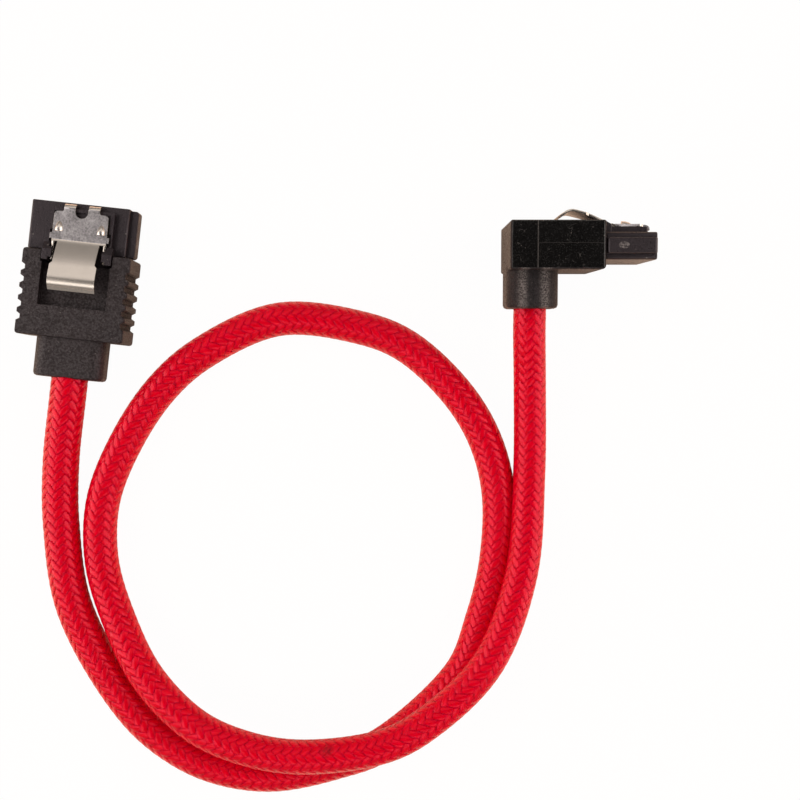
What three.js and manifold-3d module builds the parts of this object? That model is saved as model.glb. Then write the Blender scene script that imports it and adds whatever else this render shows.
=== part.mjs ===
// A braided serial drive data cable, about 0.3 m long, with one straight plug and one right-angle plug.
// Millimetres, +Z up. The origin is at the middle of the two plugs, on the surface that the cable lies on.
// Each plug is drawn in its own frame: +X across its width, +Y towards its nose, +Z towards its latch,
// with y = 0 at the front face of the grip and z = 0 at the underside of the grip.

import * as THREE from 'three';
import { mergeVertices } from 'three/addons/utils/BufferGeometryUtils.js';
import Module from 'manifold-3d';

const wasm = await Module();
wasm.setup();

// Fits
const FIT = 0.12;               // gap between pieces that are seated in each other
const LATCH_PLAY = 0.12;        // gap beside and under the latch where it moves
const PRESS_DEG = 4;            // how far the latch tips when it is pressed

// Contacts
const CONTACT_COUNT = 7;
const CONTACT_PITCH = 1.27;
const CONTACT_WIDTH = 0.5;
const CONTACT_THICKNESS = 0.2;
const CONTACT_RISE = 0.42;      // spring arch above the floor of the slot
const CONTACT_SETBACK = 0.9;    // tip behind the mating face
const CONTACT_SPRING = 3.2;     // sprung length behind the tip
const CONTACT_CREST = 1.1;      // top of the arch behind the tip
const CONTACT_TAIL = 3.6;       // tail behind the front of the grip
const CONTACT_STEPS = 14;
const GROOVE_DEPTH = 0.42;
const GROOVE_END = 0.24;        // groove in front of the tip

// L-shaped slot for the drive's blade
const SLOT_END = 1.475;         // slot beyond the middle of the last contact
const SLOT_HEIGHT = 1.3;
const SLOT_DEPTH = 5.3;
const SLOT_ROOF = 0.55;         // plastic between the slot and the top of the nose
const SLOT_LEG_WIDTH = 1.15;
const SLOT_LEG_DROP = 1.05;

// Insulator nose, the same moulding in both plugs
const NOSE_LENGTH = 6.25;       // from the front of the grip to the mating face
const NOSE_WALL = 0.94;         // plastic beside the slot
const NOSE_HEIGHT = 3.3;
const NOSE_LIFT = 1.2;          // underside of the nose above the underside of the grip
const NOSE_CORNER = 0.35;
const NOSE_EDGE = 0.12;
const KEY_PROUD = 1.0;          // side key beyond the main block
const KEY_HEIGHT = 1.84;
const KEY_SETBACK = 0.12;       // front of the side key behind the mating face
const KEY_CORNER = 0.4;
const LAND_WIDTH = 8.1;         // raised land that carries the latch
const LAND_HEIGHT = 0.72;
const LAND_SETBACK = 0.8;       // front of the land behind the mating face
const LAND_CORNER = 0.25;
const BLOCK_LENGTH = 4.0;       // block behind the nose, buried in the grip
const BLOCK_INSET = 0.82;       // side of the block inside the side of the nose
const BLOCK_TOP_DROP = 0.5;     // top of the buried block below the top of the nose
const BLOCK_BOTTOM_RISE = 0.2;
const DECK_LENGTH = 1.8;        // open deck at the back of the block, where the wires land

// Spring steel latch
const SHEET = 0.3;
const PLATE_LENGTH = 3.8;       // from the bend to the shoulders
const PLATE_WIDTH = 6.84;
const PLATE_BACK = 1.15;        // bend line in front of the grip
const PLATE_CORNER = 0.45;
const PLATE_GAP = 0.1;          // plate above the front ledge of the land
const PRONG_WIDTH = 1.44;
const PRONG_SPACING = 3.08;     // between the middles of the two prongs
const PRONG_REACH = 5.75;       // front bend of the prongs, in front of the grip
const PRONG_DROP = 0.55;
const PRONG_FILLET = 0.25;      // where a prong leaves the shoulder
const NOTCH_DEPTH = 0.7;        // round notch behind the shoulder line
const LOCK_SPACING = 5.3;       // lock ramps: low in front, sheared off behind
const LOCK_REAR = 1.3;          // sheared rear edge of a ramp in front of the bend line
const LOCK_LENGTH = 1.3;
const LOCK_WIDTH = 1.12;
const LOCK_HEIGHT = 0.4;
const LOCK_SIDES = 16;
const EAR_PROUD = 0.3;
const EAR_LENGTH = 0.7;
const FLANGE_DROP = 0.62;       // side flange below the plate
const FLANGE_BACK = 1.15;       // side flange behind the front of the grip
const NECK_WIDTH = 5.3;
const TONGUE_WIDTH = 5.9;
const TONGUE_LENGTH = 4.95;     // behind the front of the grip
const TONGUE_STEP = 1.55;       // where the neck widens, behind the front of the grip
const TONGUE_FLARE = 0.3;       // length of the slanted stretch where it widens
const TONGUE_RISE = 1.86;       // top of the tongue above the plate
const LATCH_STEPS = 50;

// Posts of the nose, with a lip over each side flange that keeps the latch down
const POST_WIDTH = 0.85;
const POST_FRONT = 1.0;
const POST_BACK = 1.3;
const POST_CORNER = 0.15;
const POST_EDGE = 0.1;
const POST_SLOPE_LENGTH = 0.95;  // the top falls towards the front over this length
const POST_SLOPE_DROP = 0.55;
const LIP_THICKNESS = 0.32;
const LIP_FRONT = 0.4;
const LIP_BACK = 0.95;

// Grip, moulded over the block, the joints and the end of the cable
const GRIP_STEP = 0.1;          // side of the grip beyond the side of the nose and its key
const GRIP_HEIGHT = 5.85;
const GRIP_CORNER = 0.35;
const GRIP_EDGE = 0.2;          // rounding of its long edges
const WINDOW_WIDTH = 8.6;       // pocket under the tongue
const WINDOW_BACK = 6.95;
const WINDOW_DEPTH = 1.35;
const STRAIGHT_GRIP_LENGTH = 10.85;
const RIB_COUNT = 4;
const RIB_WIDTH = 0.75;
const RIB_DEPTH = 0.45;
const RIB_CHAMFER = 0.12;       // at the crest of a rib
const RIB_ROOT = 0.16;          // at its foot
const FRONT_BLOCK = 2.0;        // plain stretch before the finger ribs
const REAR_BLOCK = 1.8;         // plain stretch behind them
const ANGLED_GRIP_LENGTH = 11.4;
const ANGLED_NOSE_CORNER = 0.55; // lower front edge of the right-angle grip
const ANGLED_REAR_CORNER = 0.3; // its other cross edges
const CAVITY_WIDTH = 7.4;       // space inside, where the wires spread
const CAVITY_BELOW = 1.05;      // below the middle of the wires
const CAVITY_ABOVE = 0.75;
const CAVITY_WALL = 1.0;        // grip behind the space

// Strain relief boots
const STRAIGHT_BOOT_LENGTH = 5.0;
const STRAIGHT_BOOT_WIDTH = 8.9;
const STRAIGHT_BOOT_HEIGHT = 4.9;
const STRAIGHT_BOOT_CORNER = 1.7;
const ANGLED_BOOT_LENGTH = 4.6;
const ANGLED_BOOT_WIDTH = 9.0;
const ANGLED_BOOT_DEPTH = 6.35; // along the nose
const ANGLED_BOOT_CORNER = 2.3;
const ANGLED_BOOT_PLACE = 8.35; // middle of the boot behind the front of the grip
const BOOT_END = 0.45;
const BORE_PAST_BOOT = 2.0;     // bore of the cable, beyond the boot into the grip
const BORE_SIDES = 20;

// Cable
const CORD_DIAMETER = 4.4;
const CORD_SIDES = 10;
const CORD_STEPS = 76;
const CORD_ENTRY = 3.0;         // how far the cable goes into each boot
const PAIR_DIAMETER = 1.5;      // one shielded pair, bared inside the plug
const PAIR_SIDES = 8;
const PAIR_STEPS = 14;
const PAIR_SPREAD = 4.4;        // between the middles of the two pairs at the contacts
const PAIR_GAP = 0.3;
const PAIR_BEND = 1.4;          // straight end of a pair before the deck of the block
const PAIR_LAP = 0.1;           // end of a pair before the back of the block

// Where the plugs lie
const STRAIGHT_PLACE = [-31.62, 4.63];  // front face of the grip, middle of its width
const STRAIGHT_TURN_DEG = -6.2;
const ANGLED_PLACE = [33.28, 2.5];       // front face of the grip and its lower back edge
const ANGLED_LEAN_DEG = 3.5;            // the plug stands on its narrow side and leans a little

// Middle line of the cable, from the straight plug to the right-angle plug: a loop and a half,
// the second turn lying over the first at the bottom of the loop.
const CORD_ROUTE = [
  [-33.01, -8.2, 2.92], [-33.34, -11.18, 2.92], [-33.69, -14.13, 2.85], [-34.62, -21.73, 2.3],
  [-34.62, -29.83, 2.2], [-32.82, -40.73, 2.2], [-25.42, -53.43, 2.2], [-20.02, -58.23, 2.2],
  [-14.52, -60.83, 2.2], [-7.52, -61.78, 2.2], [0.88, -60.13, 2.2], [6.58, -57.93, 2.2],
  [16.58, -48.73, 2.2], [19.28, -41.93, 2.2], [21.03, -34.73, 2.2], [21.38, -25.73, 2.2],
  [19.58, -18.73, 2.2], [15.88, -12.73, 2.2], [9.48, -6.88, 2.2], [3.48, -4.53, 2.2],
  [-6.82, -3.53, 2.2], [-16.52, -7.83, 2.2], [-21.62, -12.23, 2.2], [-26.07, -18.78, 2.2],
  [-29.22, -26.63, 2.2], [-29.42, -34.33, 2.3], [-27.12, -41.63, 3], [-23.07, -48.93, 4.4],
  [-17.02, -54.73, 5.2], [-10.92, -57.33, 5.8], [-3.72, -58.33, 6.4], [6.88, -56.83, 6.85],
  [12.38, -53.93, 6.6], [19.68, -46.93, 5.8], [23.98, -36.03, 4.9], [25.18, -23.33, 3.5],
  [25.18, -11.87, 4.3], [24.93, -5.47, 6.1], [24.93, -2.47, 6.53], [24.93, 0.53, 6.71],
];

const QUARTER = Math.PI / 2;
const DEG = Math.PI / 180;
const ROUND_STEPS = 6;
const OVERCUT = 0.5;            // how far a cutter runs past the faces that it opens

const noseBottom = NOSE_LIFT;
const noseTop = NOSE_LIFT + NOSE_HEIGHT;
const slotWidth = (CONTACT_COUNT - 1) * CONTACT_PITCH + 2 * SLOT_END;
const noseWidth = slotWidth + 2 * NOSE_WALL;
const noseLeft = -(noseWidth + KEY_PROUD) / 2;
const noseRight = noseLeft + noseWidth;
const noseMiddle = (noseLeft + noseRight) / 2;
const landTop = noseTop + LAND_HEIGHT;
const plateUnder = landTop + PLATE_GAP;
const plateTop = plateUnder + SHEET;
const plateFront = PLATE_BACK + PLATE_LENGTH;
const postInner = PLATE_WIDTH / 2 + LATCH_PLAY;
const lipUnder = plateTop + LATCH_PLAY;
const postTop = lipUnder + LIP_THICKNESS;
const flangeSink = (PRONG_REACH + FLANGE_BACK) * Math.tan(PRESS_DEG * Math.PI / 180);
const flangePit = plateUnder - FLANGE_DROP - flangeSink - LATCH_PLAY;
const slotTop = noseTop - SLOT_ROOF;
const slotFloor = slotTop - SLOT_HEIGHT;
const blockWidth = noseWidth - 2 * BLOCK_INSET;
const blockTop = noseTop - BLOCK_TOP_DROP;
const blockBottom = noseBottom + BLOCK_BOTTOM_RISE;
const contactMiddle = slotFloor - GROOVE_DEPTH / 2;
const deckTop = contactMiddle - CONTACT_THICKNESS / 2 - FIT;
const pairHeight = contactMiddle + CONTACT_THICKNESS / 2 + PAIR_DIAMETER / 2 + FIT;
const gripWidth = noseWidth + KEY_PROUD + 2 * GRIP_STEP;
const windowFloor = GRIP_HEIGHT - WINDOW_DEPTH;
const boreRadius = CORD_DIAMETER / 2 + FIT;
const straightExit = STRAIGHT_GRIP_LENGTH + STRAIGHT_BOOT_LENGTH;

// Solids

function solidOf(geometry) {
  const bare = geometry.clone();
  bare.deleteAttribute('normal');
  bare.deleteAttribute('uv');
  const merged = mergeVertices(bare, 1e-5);
  return new wasm.Manifold(new wasm.Mesh({
    numProp: 3,
    vertProperties: new Float32Array(merged.attributes.position.array),
    triVerts: new Uint32Array(merged.index.array),
  }));
}

function geometryOf(solid) {
  const mesh = solid.getMesh();
  const geometry = new THREE.BufferGeometry();
  geometry.setAttribute('position', new THREE.BufferAttribute(new Float32Array(mesh.vertProperties), 3));
  geometry.setIndex(new THREE.BufferAttribute(new Uint32Array(mesh.triVerts), 1));
  geometry.computeVertexNormals();
  return geometry;
}

function block(x0, x1, y0, y1, z0, z1) {
  const box = new THREE.BoxGeometry(x1 - x0, y1 - y0, z1 - z0);
  box.translate((x0 + x1) / 2, (y0 + y1) / 2, (z0 + z1) / 2);
  return solidOf(box);
}

function roundedRectangle(x0, x1, y0, y1, radius) {
  const shape = new THREE.Shape();
  shape.absarc(x1 - radius, y0 + radius, radius, -QUARTER, 0, false);
  shape.absarc(x1 - radius, y1 - radius, radius, 0, QUARTER, false);
  shape.absarc(x0 + radius, y1 - radius, radius, QUARTER, 2 * QUARTER, false);
  shape.absarc(x0 + radius, y0 + radius, radius, 2 * QUARTER, 3 * QUARTER, false);
  shape.closePath();
  return shape;
}

// An outline in x and y, raised from z0 to z1, with its two rims rounded by edge.
function raised(shape, z0, z1, edge = 0) {
  const geometry = new THREE.ExtrudeGeometry(shape, {
    depth: z1 - z0 - 2 * edge,
    bevelEnabled: edge > 0,
    bevelThickness: edge,
    bevelSize: edge,
    bevelOffset: -edge,
    bevelSegments: 2,
    curveSegments: ROUND_STEPS,
  });
  geometry.translate(0, 0, z0 + edge);
  return solidOf(geometry);
}

// An outline in x and z, drawn out from y0 to y1, with its two rims rounded by edge.
function drawnOut(shape, y0, y1, edge = 0) {
  const geometry = new THREE.ExtrudeGeometry(shape, {
    depth: y1 - y0 - 2 * edge,
    bevelEnabled: edge > 0,
    bevelThickness: edge,
    bevelSize: edge,
    bevelOffset: -edge,
    bevelSegments: 2,
    curveSegments: ROUND_STEPS,
  });
  geometry.rotateX(QUARTER);
  geometry.translate(0, y1 - edge, 0);
  return solidOf(geometry);
}

// A side profile in y and z, made width wide and centred on x.
function sideProfile(shape, x, width) {
  const geometry = new THREE.ExtrudeGeometry(shape, {
    depth: width,
    bevelEnabled: false,
    curveSegments: ROUND_STEPS,
  });
  geometry.applyMatrix4(new THREE.Matrix4().makeBasis(
    new THREE.Vector3(0, 1, 0),
    new THREE.Vector3(0, 0, 1),
    new THREE.Vector3(1, 0, 0),
  ));
  geometry.translate(x - width / 2, 0, 0);
  return solidOf(geometry);
}

// The outline of a bent strip of even thickness about a middle line in y and z.
function stripOutline(points, thickness, steps) {
  const line = new THREE.SplineCurve(points.map(([y, z]) => new THREE.Vector2(y, z)));
  const upper = [];
  const lower = [];
  for (let i = 0; i <= steps; i += 1) {
    const at = line.getPoint(i / steps);
    const along = line.getTangent(i / steps);
    const side = new THREE.Vector2(-along.y, along.x).multiplyScalar(thickness / 2);
    upper.push(at.clone().add(side));
    lower.push(at.clone().sub(side));
  }
  return new THREE.Shape([...lower, ...upper.reverse()]);
}

// A solid rod of the given diameter along a curve.
function tube(curve, diameter, sides, steps) {
  const ring = [];
  for (let i = 0; i < sides; i += 1) {
    const angle = (i + 0.5) * 2 * Math.PI / sides;
    ring.push(new THREE.Vector2(Math.cos(angle), Math.sin(angle)).multiplyScalar(diameter / 2));
  }
  return new THREE.ExtrudeGeometry(new THREE.Shape(ring), { steps, extrudePath: curve, bevelEnabled: false });
}

// Insulator: nose, side key, latch land, posts, buried block, slot and contact grooves

function contactX(index) {
  return noseMiddle + (index - (CONTACT_COUNT - 1) / 2) * CONTACT_PITCH;
}

function makeNose() {
  const outline = roundedRectangle(noseLeft, noseRight, noseBottom, noseTop, NOSE_CORNER);
  let nose = drawnOut(outline, FIT, NOSE_LENGTH, NOSE_EDGE);
  const keyMiddle = (noseBottom + noseTop) / 2;
  const key = roundedRectangle(
    noseRight - KEY_PROUD, noseRight + KEY_PROUD, FIT, NOSE_LENGTH - KEY_SETBACK, KEY_CORNER,
  );
  nose = nose.add(raised(key, keyMiddle - KEY_HEIGHT / 2, keyMiddle + KEY_HEIGHT / 2, NOSE_EDGE));

  const land = roundedRectangle(
    -LAND_WIDTH / 2, LAND_WIDTH / 2, FIT, NOSE_LENGTH - LAND_SETBACK, LAND_CORNER,
  );
  nose = nose.add(raised(land, noseTop - OVERCUT, landTop));
  nose = nose.add(block(
    -blockWidth / 2, blockWidth / 2, -BLOCK_LENGTH, OVERCUT, blockBottom, blockTop,
  ));
  nose = nose.subtract(block(
    -blockWidth, blockWidth, -BLOCK_LENGTH - OVERCUT, -BLOCK_LENGTH + DECK_LENGTH,
    deckTop, blockTop + FIT,
  ));
  nose = nose.subtract(latchWell()).add(post(-1)).add(post(1));

  // The slot, its key leg and the contact grooves
  const slotBack = NOSE_LENGTH - SLOT_DEPTH;
  const slotLeft = noseMiddle - slotWidth / 2;
  const slot = block(slotLeft, slotLeft + slotWidth, slotBack, NOSE_LENGTH + OVERCUT, slotFloor, slotTop);
  const leg = block(
    slotLeft, slotLeft + SLOT_LEG_WIDTH, slotBack, NOSE_LENGTH + OVERCUT,
    slotFloor - SLOT_LEG_DROP, slotFloor + FIT,
  );
  nose = nose.subtract(slot.add(leg));
  for (let i = 0; i < CONTACT_COUNT; i += 1) {
    const half = CONTACT_WIDTH / 2 + FIT;
    nose = nose.subtract(block(
      contactX(i) - half, contactX(i) + half,
      -BLOCK_LENGTH - OVERCUT, NOSE_LENGTH - CONTACT_SETBACK + GROOVE_END,
      slotFloor - GROOVE_DEPTH, slotFloor + FIT / 2,
    ));
  }
  return geometryOf(nose);
}

// The room in the land that lets the plate, its ears and its side flanges sink when pressed.
function latchWell() {
  const sink = (PRONG_REACH - PLATE_BACK) * Math.tan(PRESS_DEG * DEG);
  const bottom = plateUnder - sink - LATCH_PLAY;
  const top = landTop + OVERCUT;
  const frontEdge = PRONG_REACH - PLATE_GAP / Math.tan(PRESS_DEG * DEG) / 2;
  const earEdge = PLATE_WIDTH / 2 + EAR_PROUD + LATCH_PLAY;
  const plateRoom = block(-postInner, postInner, -POST_BACK - OVERCUT, frontEdge, bottom, top);
  const earRoom = block(
    -earEdge, earEdge, PLATE_BACK - LATCH_PLAY, PLATE_BACK + 2 * EAR_LENGTH + LATCH_PLAY, bottom, top,
  );
  const flangeRoom = block(
    -postInner, postInner,
    -FLANGE_BACK - 2 * LATCH_PLAY, PLATE_BACK + EAR_LENGTH + LATCH_PLAY, flangePit, landTop,
  );
  return plateRoom.add(earRoom).add(flangeRoom);
}

// One post beside the latch, with its lip over the flange and a slope down to its front.
function post(side) {
  const outline = (inner, outer, back, front) => roundedRectangle(
    Math.min(side * inner, side * outer), Math.max(side * inner, side * outer), back, front, POST_CORNER,
  );
  const stem = outline(postInner, postInner + POST_WIDTH, -POST_BACK, POST_FRONT);
  const lip = outline(postInner - LATCH_PLAY - SHEET, postInner + POST_WIDTH / 2, -LIP_BACK, LIP_FRONT);
  const slope = new THREE.Shape([
    new THREE.Vector2(POST_FRONT - POST_SLOPE_LENGTH, postTop),
    new THREE.Vector2(POST_FRONT, postTop - POST_SLOPE_DROP),
    new THREE.Vector2(POST_FRONT + OVERCUT, postTop - POST_SLOPE_DROP),
    new THREE.Vector2(POST_FRONT + OVERCUT, postTop + OVERCUT),
    new THREE.Vector2(POST_FRONT - POST_SLOPE_LENGTH, postTop + OVERCUT),
  ]);
  return raised(stem, blockTop - OVERCUT, postTop, POST_EDGE)
    .add(raised(lip, lipUnder, postTop, POST_EDGE))
    .subtract(sideProfile(slope, 0, 4 * postInner));
}

// Contact: a gold-plated leaf, flat in its groove and arched up into the slot

function makeContact(index) {
  const tip = NOSE_LENGTH - CONTACT_SETBACK;
  const arch = slotFloor + CONTACT_RISE - CONTACT_THICKNESS / 2;
  const line = [
    [-CONTACT_TAIL, contactMiddle],
    [0, contactMiddle],
    [tip - CONTACT_SPRING, contactMiddle],
    [tip - (CONTACT_SPRING + CONTACT_CREST) / 2, (contactMiddle + arch) / 2],
    [tip - CONTACT_CREST, arch],
    [tip - CONTACT_CREST / 3, (contactMiddle + arch) / 2],
    [tip, contactMiddle + FIT],
  ];
  const leaf = stripOutline(line, CONTACT_THICKNESS, CONTACT_STEPS);
  return geometryOf(sideProfile(leaf, contactX(index), CONTACT_WIDTH));
}

// Latch: one stamped and bent spring steel leaf

function latchOutline() {
  const shoulder = plateFront;
  const half = PLATE_WIDTH / 2;
  const prongOut = PRONG_SPACING / 2 + PRONG_WIDTH / 2;
  const prongIn = PRONG_SPACING / 2 - PRONG_WIDTH / 2;
  const front = NOSE_LENGTH + OVERCUT;
  const notch = shoulder - NOTCH_DEPTH + prongIn;
  const earFront = PLATE_BACK + 2 * EAR_LENGTH;
  const shape = new THREE.Shape();
  shape.moveTo(-TONGUE_WIDTH / 2, -TONGUE_LENGTH - OVERCUT);
  shape.lineTo(TONGUE_WIDTH / 2, -TONGUE_LENGTH - OVERCUT);
  shape.lineTo(TONGUE_WIDTH / 2, -TONGUE_STEP - TONGUE_FLARE);
  shape.lineTo(NECK_WIDTH / 2, -TONGUE_STEP);
  shape.lineTo(NECK_WIDTH / 2, PLATE_BACK);
  shape.lineTo(half, PLATE_BACK);
  shape.lineTo(half, PLATE_BACK + EAR_LENGTH / 2);
  shape.lineTo(half + EAR_PROUD, PLATE_BACK + EAR_LENGTH / 2);
  shape.lineTo(half + EAR_PROUD, earFront - EAR_LENGTH / 2);
  shape.lineTo(half, earFront - EAR_LENGTH / 2);
  shape.absarc(half - PLATE_CORNER, shoulder - PLATE_CORNER, PLATE_CORNER, 0, QUARTER, false);
  shape.absarc(prongOut + PRONG_FILLET, shoulder + PRONG_FILLET, PRONG_FILLET, -QUARTER, -2 * QUARTER, true);
  shape.lineTo(prongOut, front);
  shape.lineTo(prongIn, front);
  shape.absarc(0, notch, prongIn, 0, -2 * QUARTER, true);
  shape.lineTo(-prongIn, front);
  shape.lineTo(-prongOut, front);
  shape.absarc(-prongOut - PRONG_FILLET, shoulder + PRONG_FILLET, PRONG_FILLET, 0, -QUARTER, true);
  shape.absarc(-half + PLATE_CORNER, shoulder - PLATE_CORNER, PLATE_CORNER, QUARTER, 2 * QUARTER, false);
  shape.lineTo(-half, earFront - EAR_LENGTH / 2);
  shape.lineTo(-half - EAR_PROUD, earFront - EAR_LENGTH / 2);
  shape.lineTo(-half - EAR_PROUD, PLATE_BACK + EAR_LENGTH / 2);
  shape.lineTo(-half, PLATE_BACK + EAR_LENGTH / 2);
  shape.lineTo(-half, PLATE_BACK);
  shape.lineTo(-NECK_WIDTH / 2, PLATE_BACK);
  shape.lineTo(-NECK_WIDTH / 2, -TONGUE_STEP);
  shape.lineTo(-TONGUE_WIDTH / 2, -TONGUE_STEP - TONGUE_FLARE);
  shape.closePath();
  return shape;
}

// The middle of the sheet from the prongs to the free end, as shares of the lengths and the rise.
function latchMiddleLine() {
  const flat = plateUnder + SHEET / 2;
  const prongs = [[0.4, 1], [0.17, 0.4], [-0.67, 0.07], [-2.33, 0]].map(
    ([forward, drop]) => [PRONG_REACH + forward * SHEET, flat - drop * PRONG_DROP],
  );
  const plate = [
    [(PRONG_REACH + PLATE_BACK) / 2, flat],
    [PLATE_BACK + 2.5 * SHEET, flat],
    [PLATE_BACK + SHEET, flat],
    [PLATE_BACK - SHEET / 2, flat + SHEET / 2],
  ];
  const tongue = [
    [0, 0.36], [0.28, 0.7], [0.5, 0.88], [0.72, 1], [0.86, 0.9], [0.93, 0.75], [1, 0.62],
  ].map(([back, up]) => [-back * TONGUE_LENGTH, flat + up * TONGUE_RISE]);
  return [...prongs, ...plate, ...tongue];
}

// One lock ramp: it rises towards the back and ends in a sheared edge that catches in the drive's window.
function lockRamp(side) {
  const base = plateTop - SHEET / 2;
  const rear = PLATE_BACK + LOCK_REAR;
  const ramp = new THREE.SphereGeometry(1, LOCK_SIDES, LOCK_SIDES / 2);
  ramp.rotateX(QUARTER);
  ramp.scale(LOCK_WIDTH / 2, LOCK_LENGTH, LOCK_HEIGHT + SHEET / 2);
  ramp.translate(side * LOCK_SPACING / 2, rear, base);
  const kept = block(-PLATE_WIDTH, PLATE_WIDTH, rear, NOSE_LENGTH, base, plateTop + 2 * LOCK_HEIGHT);
  return solidOf(ramp).intersect(kept);
}

function makeLatch() {
  const sheetWidth = PLATE_WIDTH + 2 * EAR_PROUD + OVERCUT;
  const strip = sideProfile(stripOutline(latchMiddleLine(), SHEET, LATCH_STEPS), 0, sheetWidth);
  let latch = strip.intersect(raised(latchOutline(), 0, plateTop + 2 * TONGUE_RISE));
  for (const side of [-1, 1]) {
    latch = latch.add(lockRamp(side));
    const outer = side * PLATE_WIDTH / 2;
    const inner = side * (PLATE_WIDTH / 2 - SHEET);
    latch = latch.add(block(
      Math.min(outer, inner), Math.max(outer, inner), -FLANGE_BACK, PLATE_BACK + EAR_LENGTH,
      plateUnder - FLANGE_DROP, plateUnder + SHEET / 2,
    ));
  }
  return geometryOf(latch);
}

// Grip with its boot, one soft moulding over the back of the insulator

function ribbedOutline() {
  const half = gripWidth / 2;
  const rear = -STRAIGHT_GRIP_LENGTH;
  const ribRun = STRAIGHT_GRIP_LENGTH - FRONT_BLOCK - REAR_BLOCK;
  const grooveWidth = (ribRun - RIB_COUNT * RIB_WIDTH) / (RIB_COUNT + 1);
  const right = [];
  let y = -FRONT_BLOCK;
  for (let i = 0; i <= RIB_COUNT; i += 1) {
    right.push([half, y + RIB_CHAMFER], [half - RIB_DEPTH, y - RIB_ROOT]);
    y -= grooveWidth;
    right.push([half - RIB_DEPTH, y + RIB_ROOT], [half, y - RIB_CHAMFER]);
    y -= RIB_WIDTH;
  }
  const cut = GRIP_CORNER * 0.3;
  const outline = [
    [half - GRIP_CORNER, 0], [half - cut, -cut], [half, -GRIP_CORNER],
    ...right,
    [half, rear + GRIP_CORNER], [half - cut, rear + cut], [half - GRIP_CORNER, rear],
  ];
  const mirrored = outline.map(([x, v]) => [-x, v]).reverse();
  return new THREE.Shape([...outline, ...mirrored].reverse().map(([x, v]) => new THREE.Vector2(x, v)));
}

// What both grips leave free: the seat of the block, the pocket under the tongue and the room of the posts.
function cutForNose(grip) {
  const seat = block(
    -blockWidth / 2 - FIT, blockWidth / 2 + FIT, -BLOCK_LENGTH - FIT, OVERCUT,
    blockBottom - FIT, blockTop + FIT,
  );
  const pocket = block(
    -WINDOW_WIDTH / 2, WINDOW_WIDTH / 2, -WINDOW_BACK, -POST_BACK - FIT,
    windowFloor, GRIP_HEIGHT + OVERCUT,
  );
  const room = postInner + POST_WIDTH + FIT;
  const postRoom = block(
    -room, room, -POST_BACK - 2 * FIT, OVERCUT, Math.min(flangePit, blockTop), postTop + OVERCUT,
  );
  return grip.subtract(seat.add(pocket).add(postRoom));
}

// The space behind the block where the wires spread to the contacts.
function wireSpace(back) {
  return block(
    -CAVITY_WIDTH / 2, CAVITY_WIDTH / 2, back, -BLOCK_LENGTH,
    pairHeight - CAVITY_BELOW, pairHeight + CAVITY_ABOVE,
  );
}

function makeStraightGrip() {
  let grip = raised(ribbedOutline(), 0, GRIP_HEIGHT, GRIP_EDGE);
  const middle = GRIP_HEIGHT / 2;
  const boot = roundedRectangle(
    -STRAIGHT_BOOT_WIDTH / 2, STRAIGHT_BOOT_WIDTH / 2,
    middle - STRAIGHT_BOOT_HEIGHT / 2, middle + STRAIGHT_BOOT_HEIGHT / 2, STRAIGHT_BOOT_CORNER,
  );
  grip = grip.add(drawnOut(boot, -straightExit, -STRAIGHT_GRIP_LENGTH + 2 * BOOT_END, BOOT_END));
  grip = cutForNose(grip).subtract(wireSpace(-STRAIGHT_GRIP_LENGTH + CAVITY_WALL));
  const depth = OVERCUT + STRAIGHT_BOOT_LENGTH + BORE_PAST_BOOT;
  const bore = new THREE.CylinderGeometry(boreRadius, boreRadius, depth, BORE_SIDES);
  bore.translate(0, -straightExit - OVERCUT + depth / 2, middle);
  return geometryOf(grip.subtract(solidOf(bore)));
}

// The side view of the right-angle grip: its lower front edge is well rounded, the other three slightly.
function angledSideView() {
  const shape = new THREE.Shape();
  const back = -ANGLED_GRIP_LENGTH;
  const [big, small] = [ANGLED_NOSE_CORNER, ANGLED_REAR_CORNER];
  shape.absarc(-big, big, big, -QUARTER, 0, false);
  shape.absarc(-small, GRIP_HEIGHT - small, small, 0, QUARTER, false);
  shape.absarc(back + small, GRIP_HEIGHT - small, small, QUARTER, 2 * QUARTER, false);
  shape.absarc(back + small, small, small, 2 * QUARTER, 3 * QUARTER, false);
  shape.closePath();
  return shape;
}

function makeAngledGrip() {
  const outline = roundedRectangle(-gripWidth / 2, gripWidth / 2, -ANGLED_GRIP_LENGTH, 0, GRIP_CORNER);
  const sides = sideProfile(angledSideView(), 0, gripWidth + OVERCUT);
  let grip = raised(outline, 0, GRIP_HEIGHT, GRIP_EDGE).intersect(sides);
  const boot = roundedRectangle(
    -ANGLED_BOOT_WIDTH / 2, ANGLED_BOOT_WIDTH / 2,
    -ANGLED_BOOT_PLACE - ANGLED_BOOT_DEPTH / 2, -ANGLED_BOOT_PLACE + ANGLED_BOOT_DEPTH / 2,
    ANGLED_BOOT_CORNER,
  );
  grip = grip.add(raised(boot, -ANGLED_BOOT_LENGTH, 2 * BOOT_END, BOOT_END));
  grip = cutForNose(grip).subtract(wireSpace(-ANGLED_BOOT_PLACE - CORD_DIAMETER / 2));
  const depth = ANGLED_BOOT_LENGTH + pairHeight + OVERCUT;
  const bore = new THREE.CylinderGeometry(boreRadius, boreRadius, depth, BORE_SIDES);
  bore.rotateX(QUARTER);
  bore.translate(0, -ANGLED_BOOT_PLACE, -ANGLED_BOOT_LENGTH - OVERCUT + depth / 2);
  return geometryOf(grip.subtract(solidOf(bore)));
}

// Shielded pairs, bared inside each grip between the end of the cable and the contacts

function makePair(side, route) {
  const points = route.map(([x, y, z]) => new THREE.Vector3(side * x, y, z));
  return tube(new THREE.CatmullRomCurve3(points), PAIR_DIAMETER, PAIR_SIDES, PAIR_STEPS);
}

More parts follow.
